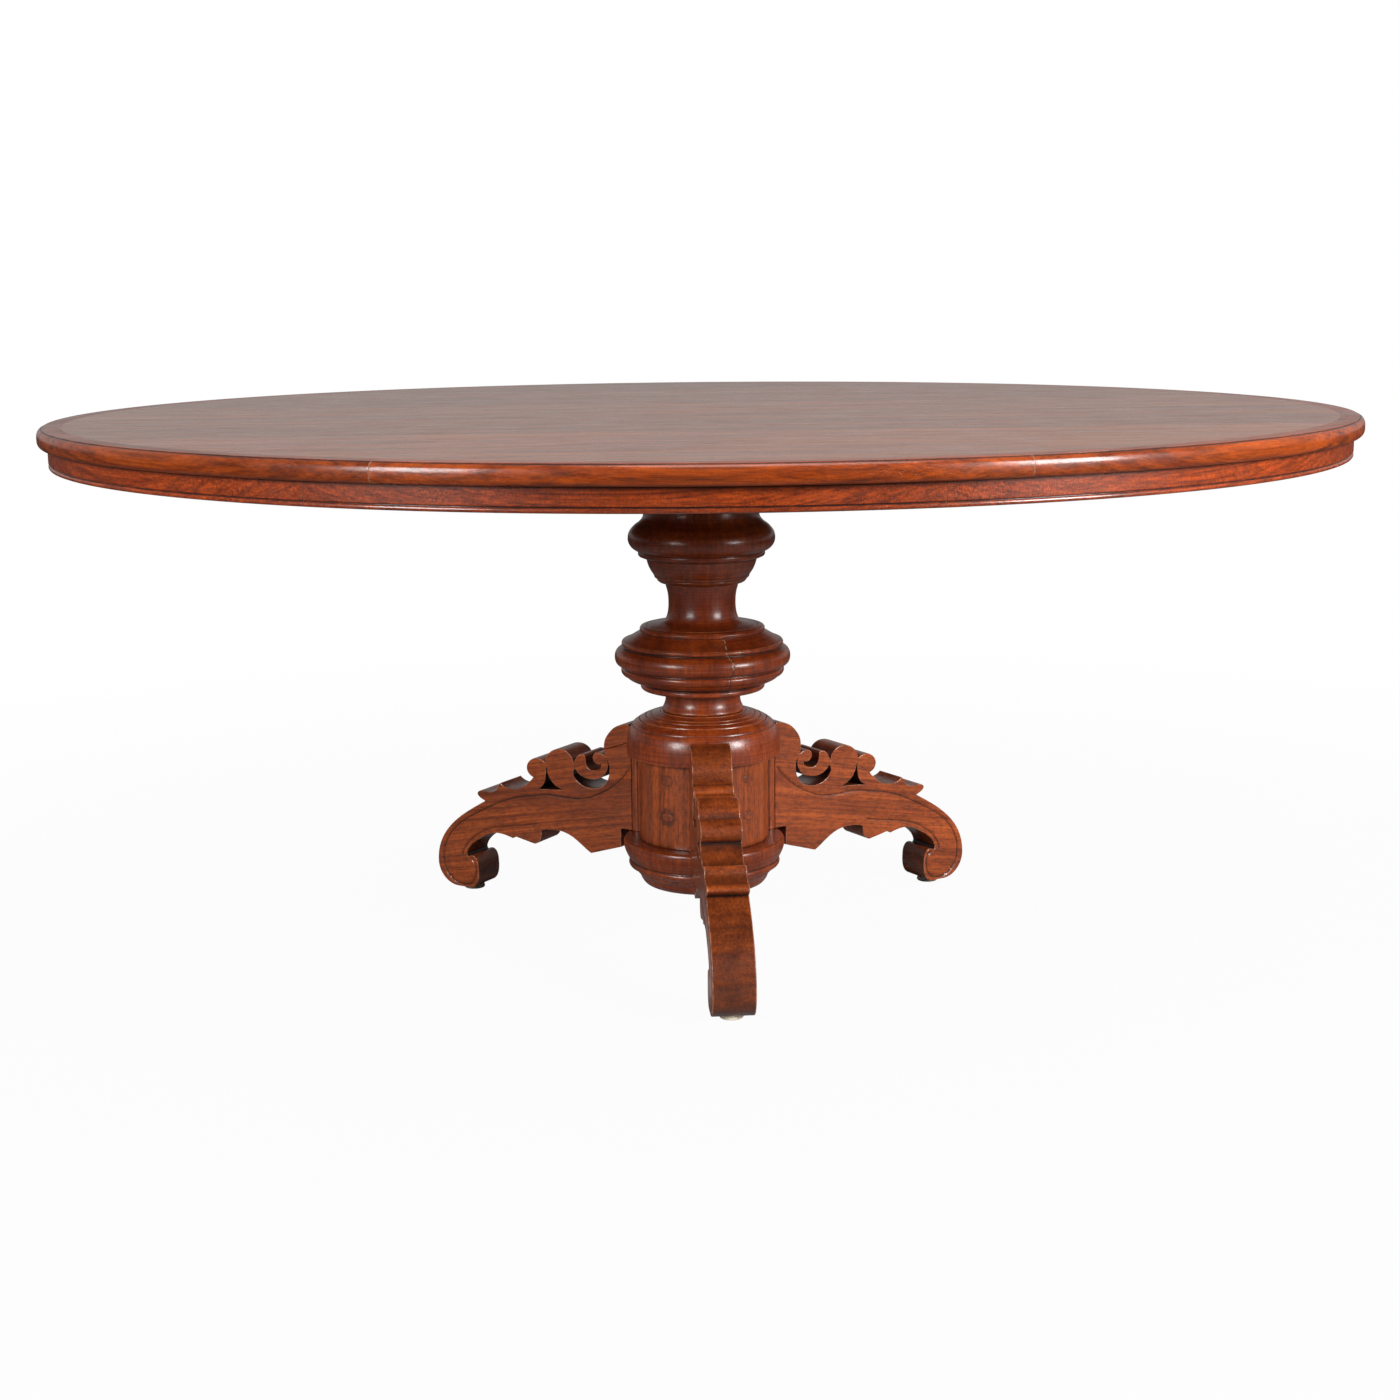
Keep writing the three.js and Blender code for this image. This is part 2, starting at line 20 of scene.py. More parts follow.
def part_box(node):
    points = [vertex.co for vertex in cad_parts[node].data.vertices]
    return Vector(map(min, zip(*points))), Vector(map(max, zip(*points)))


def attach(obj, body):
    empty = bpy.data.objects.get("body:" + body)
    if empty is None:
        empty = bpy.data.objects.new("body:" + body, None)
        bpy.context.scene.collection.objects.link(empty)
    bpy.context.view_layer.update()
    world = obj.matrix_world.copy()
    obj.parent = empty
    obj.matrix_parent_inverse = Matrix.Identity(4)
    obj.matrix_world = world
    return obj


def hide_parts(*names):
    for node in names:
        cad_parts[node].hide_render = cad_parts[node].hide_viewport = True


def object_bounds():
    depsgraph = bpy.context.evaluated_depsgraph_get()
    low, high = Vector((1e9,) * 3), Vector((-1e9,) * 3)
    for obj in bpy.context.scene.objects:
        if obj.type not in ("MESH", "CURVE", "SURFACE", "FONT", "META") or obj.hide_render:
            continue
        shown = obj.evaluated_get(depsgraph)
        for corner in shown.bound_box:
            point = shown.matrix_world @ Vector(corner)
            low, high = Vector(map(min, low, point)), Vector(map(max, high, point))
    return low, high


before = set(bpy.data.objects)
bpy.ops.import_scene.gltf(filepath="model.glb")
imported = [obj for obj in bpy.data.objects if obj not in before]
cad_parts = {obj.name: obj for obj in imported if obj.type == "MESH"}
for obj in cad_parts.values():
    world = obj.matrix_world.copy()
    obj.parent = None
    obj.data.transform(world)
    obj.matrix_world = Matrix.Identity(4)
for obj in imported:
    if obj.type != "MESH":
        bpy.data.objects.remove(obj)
cad_low, cad_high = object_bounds()

MM = 0.001
GAP = 0.3                       # glue line between touching pieces
TINY = 1e-9                     # keeps a division by a length from failing

# ---- sizes read from the frame


def box_mm(node):
    """Lowest and highest corners of a CAD node, in millimetres."""
    low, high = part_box(node)
    return np.array(low) / MM, np.array(high) / MM


def bottom_of(node):
    return box_mm(node)[0][2]


def top_of(node):
    return box_mm(node)[1][2]


def azimuth_of(node):
    """Direction of a CAD node's middle from the table's axis, in degrees."""
    low, high = box_mm(node)
    return degrees(atan2(low[1] + high[1], low[0] + high[0]))


TOP_Z = cad_high.z / MM
TOP_RADIUS = (cad_high.x - cad_low.x) / 2 / MM
BOARD_LOW_Z = bottom_of("top_board_4")
BOARD_RADIUS = box_mm("top_board_4")[1][0]
BOARD_COUNT = sum(1 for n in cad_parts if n.startswith("top_board_"))
APRON_LOW_Z = bottom_of("apron_segment_1")
LEG_AZIMUTHS = {side: azimuth_of(f"{side}_foot_pad") for side in ("front", "right", "left")}

SEGMENTS = 8
SEGMENT_ANGLE = 360 / SEGMENTS
RIM_FIRST_JOINT = -117.0
APRON_FIRST_JOINT = -78.0
RIM_WIDTH = 32
APRON_INSET = 35                # of the apron's inner face from the rim's edge
LEG_HALF = 28.5                 # half a leg's thickness
DRUM_RADIUS = 95.5
BORE_RADIUS = 28.3              # of the turned pieces that sit on the shaft's spigots

# ---- curve helpers


def strokes(text):
    """Strokes of points from a text in which commas join a point and slashes part the strokes."""
    return [[tuple(map(float, point.split(","))) for point in stroke.split()]
            for stroke in text.split("/")]


def chain(text):
    """Profile runs from strokes, each run starting where the one before it ends."""
    path = strokes(text)
    return [[before[-1], *stroke] for before, stroke in pairwise(path)]


def smooth_run(points, step):
    """Points along a smooth curve through a run of profile points."""
    pts = [np.array(p, float) for p in points]
    out = []
    for i in range(len(pts) - 1):
        before = pts[i - 1] if i else 2 * pts[0] - pts[1]
        a, b = pts[i], pts[i + 1]
        after = pts[i + 2] if i + 2 < len(pts) else 2 * pts[-1] - pts[-2]
        count = max(1, ceil(np.linalg.norm(b - a) / step))
        for k in range(count):
            t = k / count
            out.append(0.5 * (2 * a + (b - before) * t
                              + (2 * before - 5 * a + 4 * b - after) * t ** 2
                              + (3 * a - before - 3 * b + after) * t ** 3))
    out.append(pts[-1])
    return out


ROUND_POINTS = 5
ROUND_SHARE = 0.45              # the most that a round takes of the step beside it


def rounded_corner(before, corner, after, size):
    """A small round in place of the corner between two runs."""
    a, b = (corner + way * min(size / max(np.linalg.norm(way), TINY), ROUND_SHARE)
            for way in (before - corner, after - corner))
    ts = np.linspace(0, 1, ROUND_POINTS)[:, None]
    return list((1 - ts) ** 2 * a + 2 * ts * (1 - ts) * corner + ts ** 2 * b)


def profile_from(runs, closed, step=1.6, corner=0.5):
    """One polyline through smooth runs that meet at slightly rounded corners."""
    sampled = [smooth_run(run, step) for run in runs]
    out = [] if closed else [sampled[0][0]]
    count = len(sampled)
    for i, run in enumerate(sampled):
        out.extend(run[1:-1])
        if i + 1 < count or closed:
            following = sampled[(i + 1) % count]
            out.extend(rounded_corner(run[-2], run[-1], following[1], corner))
    if not closed:
        out.append(sampled[-1][-1])
    return np.array(out)


def bezier(points, t):
    """Point on a Bezier curve of any degree at t."""
    pts = [np.array(p, float) for p in points]
    while len(pts) > 1:
        pts = [a * (1 - t) + b * t for a, b in pairwise(pts)]
    return pts[0]


def outline_from(path, step=2.0):
    """A polyline from a start and strokes, each of a Bezier's further points (1, 2 or 3 of them)."""
    out = [np.array(path[0][0], float)]
    for stroke in path[1:]:
        pts = [out[-1], *stroke]
        chord = sum(lengths(np.subtract(b, a)) for a, b in pairwise(pts))
        count = max(1, ceil(chord / step))
        out.extend(bezier(pts, k / count) for k in range(1, count + 1))
    return np.array(out)


def bell(gaps, width):
    """1 where the gap is 0, falling to 0 within about twice the width."""
    return np.exp(-(gaps / width) ** 2)


def columns(*parts):
    return np.stack(parts, -1)


def lengths(steps):
    return np.linalg.norm(steps, axis=-1)


def rotated(x, y, angle):
    c, s = cos(angle), sin(angle)
    return c * x - s * y, s * x + c * y


def turned(azimuth):
    """The turn about the table's axis that takes +X to an azimuth."""
    return Matrix.Rotation(radians(azimuth), 4, "Z")


def smoothstep(low, high, values):
    """From 0 at the low value to 1 at the high one, flat at both."""
    t = np.clip((np.asarray(values) - low) / (high - low), 0, 1)
    return t * t * (3 - 2 * t)


# ---- mesh helpers


def grid_faces(rows, cols, wrap_rows, wrap_cols):
    """Quads over a grid of vertices numbered row by row."""
    i = np.arange(rows if wrap_rows else rows - 1)[:, None]
    j = np.arange(cols if wrap_cols else cols - 1)[None, :]
    i2, j2 = (i + 1) % rows, (j + 1) % cols
    quads = columns(i * cols + j, i * cols + j2, i2 * cols + j2, i2 * cols + j)
    return quads.reshape(-1, 4).tolist()


def turn(profile, closed, angles):
    """A turned mesh: the profile of (radius, height) carried round the Z axis."""
    a = np.radians(angles)[:, None]
    r, z = profile[:, 0][None, :], profile[:, 1][None, :]
    co = columns(r * np.cos(a), r * np.sin(a), z + 0 * a).reshape(-1, 3)
    return co, grid_faces(len(angles), len(profile), True, closed)


MITRE_LIMIT = 0.9               # keeps the mitre of a sharp corner short


def right_of(steps):
    """Unit vectors to the right of each step."""
    steps = steps / np.maximum(lengths(steps), TINY)[:, None]
    return columns(steps[:, 1], -steps[:, 0])


def polygon_normals(points):
    """Outward normals, with mitres, of a closed polygon that runs anticlockwise."""
    side = right_of(np.roll(points, -1, 0) - points)
    both = side + np.roll(side, 1, 0)
    return both / np.maximum((both ** 2).sum(1, keepdims=True) / 2, MITRE_LIMIT)


def fill(loops, inner_points, lines):
    """Triangles over a region bounded by loops, using extra points and lines inside it."""
    verts, edges = [], []

    def added(points):
        verts.extend(Vector(p) for p in points)
        return list(range(len(verts) - len(points), len(verts)))
    faces = [added(loop) for loop in loops]
    for line in lines:
        edges.extend(pairwise(added(line)))
    added(inner_points)
    co, _, tris, origins, _, _ = delaunay_2d_cdt(verts, edges, faces, 1, 1e-5)
    co = np.array([tuple(c) for c in co])
    kept = on_face(np.array([co[tri].mean(0) for tri in tris]), loops)
    return co, [tri for tri, keep in zip(tris, kept) if keep], origins


def inside(points, loop):
    """Which points lie inside a closed loop."""
    x, y = points[:, 0][:, None], points[:, 1][:, None]
    a, b = loop, np.roll(loop, -1, 0)
    crosses = (a[:, 1] > y) != (b[:, 1] > y)
    slope = (b[:, 0] - a[:, 0]) / np.where(b[:, 1] == a[:, 1], TINY, b[:, 1] - a[:, 1])
    return ((crosses & (x < a[:, 0] + slope * (y - a[:, 1]))).sum(1) % 2) == 1


def on_face(points, loops):
    """Which points lie inside the first loop and outside the others, its holes."""
    kept = inside(points, loops[0])
    for hole in loops[1:]:
        kept &= ~inside(points, hole)
    return kept


def distance_to(points, line):
    """Distance of each point from a polyline, and how far along it the nearest place is."""
    a, b = line[:-1], line[1:]
    ab = b - a
    spans = lengths(ab)
    starts = np.concatenate([[0], np.cumsum(spans)[:-1]])
    t = np.clip(((points[:, None] - a) * ab).sum(-1) / np.maximum(spans ** 2, 1e-12), 0, 1)
    gaps = lengths(points[:, None] - (a + t[..., None] * ab))
    nearest = gaps.argmin(1)
    rows = np.arange(len(points))
    return gaps[rows, nearest], starts[nearest] + t[rows, nearest] * spans[nearest]


GROOVE_HALF = 1.9               # half the width of an incised line
GROOVE_DEPTH = 2.2
GROOVE_FADE = 3.0               # over this length from each end
ARRIS_BAND = 0.9                # how far the wear and painted highlight of an arris reach across a face


def groove_depth(points, grooves):
    """How deep the incised lines are at each point of a face."""
    depth = np.zeros(len(points))
    for line in grooves:
        gap, along = distance_to(points, line)
        length = lengths(np.diff(line, axis=0)).sum()
        ends = smoothstep(0, GROOVE_FADE, along) * smoothstep(0, GROOVE_FADE, length - along)
        depth = np.maximum(depth, GROOVE_DEPTH * ends * np.clip(1 - gap / GROOVE_HALF, 0, 1))
    return depth


def groove_guides(grooves):
    """The lines that a face's triangles have to follow for its grooves to come out crisp."""
    guides = []
    for line in grooves:
        side = right_of(np.gradient(line, axis=0))
        guides.extend(line + side * offset for offset in (-GROOVE_HALF, 0, GROOVE_HALF))
    return guides


def clear_of(points, loops, gap):
    """The points that lie on the face and at least the gap away from its edges."""
    gaps = [distance_to(points, np.vstack([loop, loop[:1]]))[0] for loop in loops]
    return points[on_face(points, loops) & (np.min(gaps, 0) > gap)]


def sawn_levels(low, high, bevel, strips, steps):
    """(Inset, depth) of each ring of vertices across a board's thickness."""
    turns = np.linspace(0, pi / 2, steps + 1)
    round_in = [(bevel * (1 - cos(t)), bevel * (1 - sin(t))) for t in turns]
    flat = np.linspace(low + bevel + ARRIS_BAND, high - bevel - ARRIS_BAND, strips + 1)
    return ([(inset, low + depth) for inset, depth in round_in[::-1]] + [(0, level) for level in flat]
            + [(inset, high - depth) for inset, depth in round_in])


def face_points(outline, caps, grid, grooves):
    """Points inside a face: a band along its arrises and a lattice, but none near its grooves."""
    inner = np.vstack([cap - polygon_normals(cap) * ARRIS_BAND for cap in caps])
    inner = clear_of(inner, caps, ARRIS_BAND * 0.6)
    if grid:
        xs, ys = (np.arange(a, b, grid) for a, b in zip(outline.min(0), outline.max(0)))
        lattice = columns(*np.meshgrid(xs, ys)).reshape(-1, 2)
        inner = np.vstack([inner, clear_of(lattice, caps, grid * 0.5)])
    for line in grooves:
        inner = inner[distance_to(inner, line)[0] > GROOVE_HALF + ARRIS_BAND]
    return inner


def sawn(outline, holes, low, high, bevel, grid=0, grooves=(), strips=1, steps=3):
    """A board sawn to an outline, its arrises rounded. Vertices are (x, outline height, depth)."""
    co, faces, caps, rim_low, rim_high = [], [], [], [], []
    levels = sawn_levels(low, high, bevel, strips, steps)
    for loop in (outline, *holes):
        base, count, normals = len(co), len(loop), polygon_normals(loop)
        for inset, depth in levels:
            co.extend((x, y, depth) for x, y in loop - normals * inset)
        faces.extend([base + k for k in quad] for quad in grid_faces(len(levels), count, False, True))
        caps.append(loop - normals * bevel)
        rim_low.extend(range(base, base + count))
        rim_high.extend(range(len(co) - count, len(co)))
    inner = face_points(outline, caps, grid, grooves)
    points, tris, origins = fill(caps, inner, groove_guides(grooves))
    depths = groove_depth(points, grooves)
    for rim, level, inward in ((rim_low, low, 1), (rim_high, high, -1)):
        index = []
        for (x, y), depth, source in zip(points, depths, origins):
            shared = [rim[k] for k in source if k < len(rim)]
            index.append(shared[0] if shared else len(co))
            if not shared:
                co.append((x, y, level + depth * inward))
        faces.extend([index[k] for k in tri] for tri in tris)
    return np.array(co), faces


# ---- pieces


ARRIS_BEND = (0.03, 0.28)       # bends per millimetre between which an arris is worn and given a painted highlight
HOLLOW_BEND = (0.02, 0.22)      # and those between which a hollow is darkened
SHARPEST_BEND = 2
GRAIN_STEP = np.array([0.37, 0.73, 0.19])       # moves each piece to another part of the grain
FACE_WEIGHT = 80                # how much the large faces lead the shading


def read(items, key, width, kind=float):
    """One property of every item, as rows of numbers."""
    values = np.empty(len(items) * width, kind)
    items.foreach_get(key, values)
    return values.reshape(-1, width)


def bend_values(mesh):
    """Mean bend at each vertex, per millimetre: above 0 in hollows, below 0 on arrises."""
    count = len(mesh.vertices)
    co, normals = read(mesh.vertices, "co", 3) / MM, read(mesh.vertex_normals, "vector", 3)
    starts, ends = read(mesh.edges, "vertices", 2, int).T
    span = co[ends] - co[starts]
    square = np.maximum((span ** 2).sum(1), 1e-6)
    total, edges = np.zeros(count), np.zeros(count)
    for at, sign in ((starts, 1), (ends, -1)):
        rise = 2 * sign * (normals[at] * span).sum(1) / square
        np.add.at(total, at, np.clip(rise, -SHARPEST_BEND, SHARPEST_BEND))
        np.add.at(edges, at, 1)
    bend = total / np.maximum(edges, 1)
    spread = bend.copy()
    np.add.at(spread, starts, bend[ends])
    np.add.at(spread, ends, bend[starts])
    return spread / (edges + 1)


def upright_grain(co):
    """Grain along Z."""
    return co[:, [2, 0, 1]]


def lengthwise_grain(co):
    """Grain along X."""
    return co


def set_value(mesh, name, values):
    layer = mesh.attributes.new(name, "FLOAT", "POINT")
    layer.data.foreach_set("value", np.asarray(values, np.float32))


def clean_mesh(name, co, faces):
    """A smooth mesh without doubled points, its faces all looking outwards."""
    mesh = bpy.data.meshes.new(name)
    mesh.from_pydata((np.asarray(co) * MM).tolist(), [], faces)
    work = bmesh.new()
    work.from_mesh(mesh)
    bmesh.ops.remove_doubles(work, verts=work.verts, dist=1e-6)
    bmesh.ops.dissolve_degenerate(work, edges=work.edges, dist=1e-7)
    bmesh.ops.recalc_face_normals(work, faces=work.faces)
    work.to_mesh(mesh)
    work.free()
    mesh.shade_smooth()
    return mesh


def add_object(name, data):
    thing = bpy.data.objects.new(name, data)
    bpy.context.scene.collection.objects.link(thing)
    return thing


def make_piece(node, shape, material, slot, place=None, grain=lengthwise_grain, seed=0, tone_and_shading=0.0,
               highlight_and_wear_share=0.7, name=None, **values):
    """A finished piece that stands for a CAD node: mesh, grain, wear with painted highlight, other
    values and material.
    """
    name = name or f"{node}_shown"
    mesh = clean_mesh(name, *shape)
    points = read(mesh.vertices, "co", 3)
    grains = grain(points / MM) * MM + GRAIN_STEP * seed
    layer = mesh.attributes.new("grain", "FLOAT_VECTOR", "POINT")
    layer.data.foreach_set("vector", grains.astype(np.float32).ravel())
    bend = bend_values(mesh)
    share = highlight_and_wear_share(points / MM) if callable(highlight_and_wear_share) else highlight_and_wear_share
    # Worn arrises, lightened also as a painted highlight
    set_value(mesh, "wear_and_highlight", share * smoothstep(*ARRIS_BEND, -bend))
    set_value(mesh, "hollow_dark", smoothstep(*HOLLOW_BEND, bend))
    set_value(mesh, "tone_and_shading", tone_and_shading(points / MM) if callable(tone_and_shading) else np.full(len(points), tone_and_shading))
    for key, value in values.items():
        set_value(mesh, key, value(points / MM))
    if place is not None:
        mesh.transform(place)
    mesh.materials.append(material)
    piece = add_object(name, mesh)
    piece.modifiers.new("even_shading", "WEIGHTED_NORMAL").weight = FACE_WEIGHT
    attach(piece, "root")
    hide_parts(node)


# ---- materials


class Nodes:
    """The node tree of a material or world, written as nested calls."""

    def __init__(self, owner):
        owner.use_nodes = True
        self.owner = owner
        self.tree = owner.node_tree

    def put(self, node, values):
        """Links or sets a node's inputs."""
        for key, value in values.items():
            if isinstance(value, bpy.types.NodeSocket):
                self.tree.links.new(value, node.inputs[key])
            else:
                node.inputs[key].default_value = value

    def add(self, kind, values, output=0, **settings):
        node = self.tree.nodes.new("ShaderNode" + kind)
        for key, value in settings.items():
            setattr(node, key, value)
        self.put(node, values)
        return node.outputs[output]

    def math(self, operation, a, b, clamp=False):
        return self.add("Math", {0: a, 1: b}, operation=operation, use_clamp=clamp)

    def times(self, a, b, clamp=False):
        return self.math("MULTIPLY", a, b, clamp)

    def total(self, *terms, clamp=False):
        """The sum of values, each times its weight."""
        whole, *others = [self.times(value, weight) for value, weight in terms]
        for part in others:
            whole = self.math("ADD", whole, part, clamp)
        return whole

    def between(self, value, low, high, to_low=0.0, to_high=1.0):
        """The value's share of one range as the same share of another."""
        return self.add("MapRange", {"Value": value, "From Min": low, "From Max": high,
                                     "To Min": to_low, "To Max": to_high})

    def mix(self, factor, a, b):
        return self.add("Mix", {0: factor, 6: a, 7: b}, 2, data_type="RGBA")


class Surface(Nodes):
    """A material that follows its piece's grain."""

    def __init__(self, name):
        super().__init__(bpy.data.materials.new(name))
        self.bsdf = self.tree.nodes["Principled BSDF"]

    def value(self, name, output="Fac"):
        return self.add("Attribute", {}, output, attribute_name=name)

    def noise(self, vector, size, detail=2.0, rough=0.5, output="Fac"):
        """Noise with so many features a metre, the same or different along each axis."""
        if isinstance(size, tuple):
            vector, size = self.add("Mapping", {"Vector": vector, "Scale": size}), 1.0
        return self.add("TexNoise", {"Vector": vector, "Scale": size, "Detail": detail,
                                     "Roughness": rough}, output)

    def bump(self, height, strength, distance):
        return self.add("Bump", {"Height": height, "Strength": strength, "Distance": distance})

    def lightened(self, base, level):
        return self.add("HueSaturation", {"Value": level, "Color": base})


def colour(code):
    """A linear colour from a hex code."""
    parts = [int(code[i:i + 2], 16) / 255 for i in (0, 2, 4)]
    linear = [p / 12.92 if p <= 0.04045 else ((p + 0.055) / 1.055) ** 2.4 for p in parts]
    return (*linear, 1.0)


# Colour of stains and of painted shade
STAIN_AND_SHADE_COLOUR = (0.022, 0.007, 0.004, 1)
# Colour of the darkening in hollows
HOLLOW_DARK_COLOUR = (0.014, 0.004, 0.003, 1)
FILLER = colour("c8a888")
# Features a metre, along the grain and then across it both ways
DRIFT_SIZE, CLOUD_SIZE, SMEAR_SIZE, PATCH_SIZE = (1.6, 7, 7), (5, 16, 16), (14, 30, 30), (60, 60, 60)
FIBRE_SIZE, PORE_SIZE, SPECK_SIZE = (9, 520, 520), (34, 950, 950), (90, 260, 260)
RAY_SIZE, TOOL_MARK_SIZE = (620, 60, 340), (560, 7, 7)


class Oak(Surface):
    """Stained and polished oak."""

    def __init__(self, name, ring_size):
        super().__init__(name)
        grain = self.grain = self.value("grain", "Vector")
        drift = self.noise(grain, DRIFT_SIZE, output="Color")
        sway = self.add("VectorMath", {0: drift, 1: (0.03, 0.03, 0.03)}, operation="MULTIPLY")
        bent = self.bent = self.add("VectorMath", {0: grain, 1: sway}, operation="ADD")
        self.rings = self.between(self.noise(bent, ring_size, 5.0, 0.65), 0.34, 0.68)
        self.fibres = self.between(self.noise(bent, FIBRE_SIZE, 3.0, 0.65), 0.3, 0.7)
        self.clouds = self.noise(grain, CLOUD_SIZE, 4.0, 0.6)
        self.specks = self.noise(bent, SPECK_SIZE, 3.0, 0.6)
        self.patches = self.noise(grain, PATCH_SIZE, 3.0, 0.6)
        self.pores = self.times(self.between(self.noise(bent, PORE_SIZE, 1.5), 0.6, 0.72),
                                self.between(self.rings, 0.2, 0.8, 1.0, 0.35))
        self.hollow_darkening = self.times(self.between(self.value("hollow_dark"), 0.25, 0.75),
                               self.between(self.patches, 0.3, 0.6, 0.55, 0.95), True)

    def figured(self, dark, light, figure, mottle, lathe, speckle, bands, band_size):
        """Rings and fibres, darkened by clouds, a lathe's marks, specks and dashes."""
        figure = self.between(self.rings, 0, 1, 0.5 - 0.5 * figure, 0.5 + 0.5 * figure)
        base = self.mix(self.total((figure, 0.6), (self.fibres, 0.45), clamp=True), dark, light)
        base = self.mix(self.between(self.clouds, 0.4, 0.66, 0.0, mottle), base, dark)
        if lathe:
            marks = self.noise(self.grain, TOOL_MARK_SIZE, 3.0, 0.7)
            base = self.mix(self.between(marks, 0.42, 0.62, 0.0, lathe), base, dark)
        base = self.mix(self.between(self.specks, 0.46, 0.64, 0.0, speckle), base, STAIN_AND_SHADE_COLOUR)
        dashes = self.noise(self.bent, band_size, 3.0, 0.6)
        base = self.mix(self.between(dashes, 0.48, 0.64, 0.0, bands), base, STAIN_AND_SHADE_COLOUR)
        # The tone value: each piece's own tone, with painted light and shade on some pieces
        return self.lightened(base, self.between(self.value("tone_and_shading"), -1.0, 1.0, 0.6, 1.4))

    def stained(self, base, pores, fleck):
        """Dark ray fleck and pores, and the stain that the piece has taken up, with painted shade in
        places.
        """
        if fleck:
            rays = self.times(self.between(self.noise(self.bent, RAY_SIZE, 1.0), 0.48, 0.6),
                              self.between(self.clouds, 0.7, 0.35, 0.3, 1.0))
            base = self.mix(self.times(rays, fleck), base, STAIN_AND_SHADE_COLOUR)
        base = self.mix(self.times(self.pores, 0.72 * pores), base, STAIN_AND_SHADE_COLOUR)
        stain_and_shade_patches = self.between(self.clouds, 0.35, 0.65, 0.7, 1.15)
        return self.mix(self.times(self.value("stain"), stain_and_shade_patches, True), base, STAIN_AND_SHADE_COLOUR)

    def aged(self, base, worn_and_highlight_colour):
        """Darkening in hollows, worn arrises lightened also as a painted highlight, and filler in
        cracks and joints.
        """
        base = self.mix(self.hollow_darkening, base, HOLLOW_DARK_COLOUR)
        highlight_and_wear_share = self.times(self.between(self.value("wear_and_highlight"), 0.3, 0.9),
                            self.between(self.patches, 0.42, 0.6, 0.1, 0.8))
        filled = self.times(self.value("filler"), self.between(self.patches, 0.3, 0.5, 0.35, 1.0), True)
        return self.mix(filled, self.mix(highlight_and_wear_share, base, worn_and_highlight_colour), FILLER)

    def dullness(self, rough):
        smears = self.noise(self.grain, SMEAR_SIZE, 4.0, 0.6)
        dull = self.between(smears, 0.3, 0.7, rough - 0.07, rough + 0.09)
        return self.total((dull, 1.0), (self.pores, 0.22), (self.hollow_darkening, 0.25), clamp=True)


def wood(name, colours, figure, pores, fleck=0.0, rough=0.38, coat=0.6, gloss=0.15, bands=0.35,
         band_size=(11, 75, 75), mottle=0.5, ring_size=(1.1, 130, 16), speckle=0.35, lathe=0.0):
    """Oak in its dark, light and worn colours, the worn one also a painted highlight on arrises, with
    the strength of each of its marks.
    """
    dark, light, worn_and_highlight_colour = (colour(code) for code in colours.split())
    oak = Oak(name, ring_size)
    base = oak.figured(dark, light, figure, mottle, lathe, speckle, bands, band_size)
    relief = oak.total((oak.fibres, 0.12), (oak.pores, -0.9), (oak.patches, 0.35))
    varnish = oak.total((oak.specks, 0.6), (oak.patches, 1.0))
    oak.put(oak.bsdf, {
        "Base Color": oak.aged(oak.stained(base, pores, fleck), worn_and_highlight_colour),
        "Roughness": oak.dullness(rough), "Normal": oak.bump(relief, 0.5, 0.0004),
        "Coat Normal": oak.bump(varnish, 0.3, 0.0006), "Specular IOR Level": 0.2,
        "Coat Weight": coat, "Coat Roughness": gloss, "IOR": 1.5})
    return oak.owner


def felt(name, base, shadow):
    """Felt of the foot pads, darker where the tone is low and lighter where it is high."""
    s = Surface(name)
    where = s.value("grain", "Vector")
    fuzz, spots = s.noise(where, 900.0, 3.0, 0.7), s.noise(where, 90.0)
    felted = s.mix(s.total((fuzz, 0.6), (spots, 0.5), clamp=True), shadow, base)
    s.put(s.bsdf, {
        "Base Color": s.lightened(felted, s.between(s.value("tone_and_shading"), -1.0, 1.0, 0.1, 1.9)),
        "Roughness": s.between(fuzz, 0.3, 0.7, 0.85, 1.0), "Normal": s.bump(fuzz, 0.8, 0.0006),
        "Sheen Weight": 0.3})
    return s.owner


def steel(name):
    """Old screw steel, browned in places."""
    s = Surface(name)
    where = s.value("grain", "Vector")
    rust = s.between(s.noise(where, 260.0, 4.0, 0.7), 0.45, 0.62)
    brushed = s.noise(where, (2500, 160, 160))
    s.put(s.bsdf, {
        "Base Color": s.mix(rust, colour("77706a"), colour("4a2f22")),
        "Metallic": s.between(rust, 0, 1, 1.0, 0.2),
        "Roughness": s.between(brushed, 0.3, 0.7, 0.3, 0.6), "Normal": s.bump(rust, 0.4, 0.0002)})
    return s.owner


TOP_WOOD = wood("oak_top", "522612 b06434 b06a44", 1.2, 0.9, rough=0.3, coat=0.5, bands=0.5,
                band_size=(5, 95, 40), mottle=0.15, speckle=0.3)
RIM_WOOD = wood("oak_rim", "5c1c06 b04e18 d69a62", 0.9, 0.8, 0.15, 0.3, 0.28, bands=0.5,
                band_size=(4, 130, 130), mottle=0.2, speckle=0.2)
APRON_WOOD = wood("oak_apron", "4c1406 b44a18 cf7e48", 0.9, 0.9, 0.55, band_size=(6, 260, 260),
                  mottle=0.1, ring_size=(0.9, 260, 60), speckle=0.3)
COLUMN_WOOD = wood("oak_column", "5a1806 b45018 bc7444", 0.6, 0.7, coat=0.58, gloss=0.25,
                   bands=0.3, lathe=0.6)
LEG_WOOD = wood("oak_leg", "5e220a bc5a24 d4a080", 1.1, 0.9, 0.2, coat=0.5, gloss=0.2, bands=0.25,
                speckle=0.38)
PEG_WOOD = wood("oak_peg", "541f0c a04c20 8a4828", 0.8, 1.0, rough=0.5)
HIDDEN_WOOD = wood("oak_underside", "5c3a26 8a6244 a07a58", 1.0, 1.0, rough=0.7, coat=0.0)
PAD_FELT = felt("pad_felt", colour("efe6d2"), colour("b8a88c"))
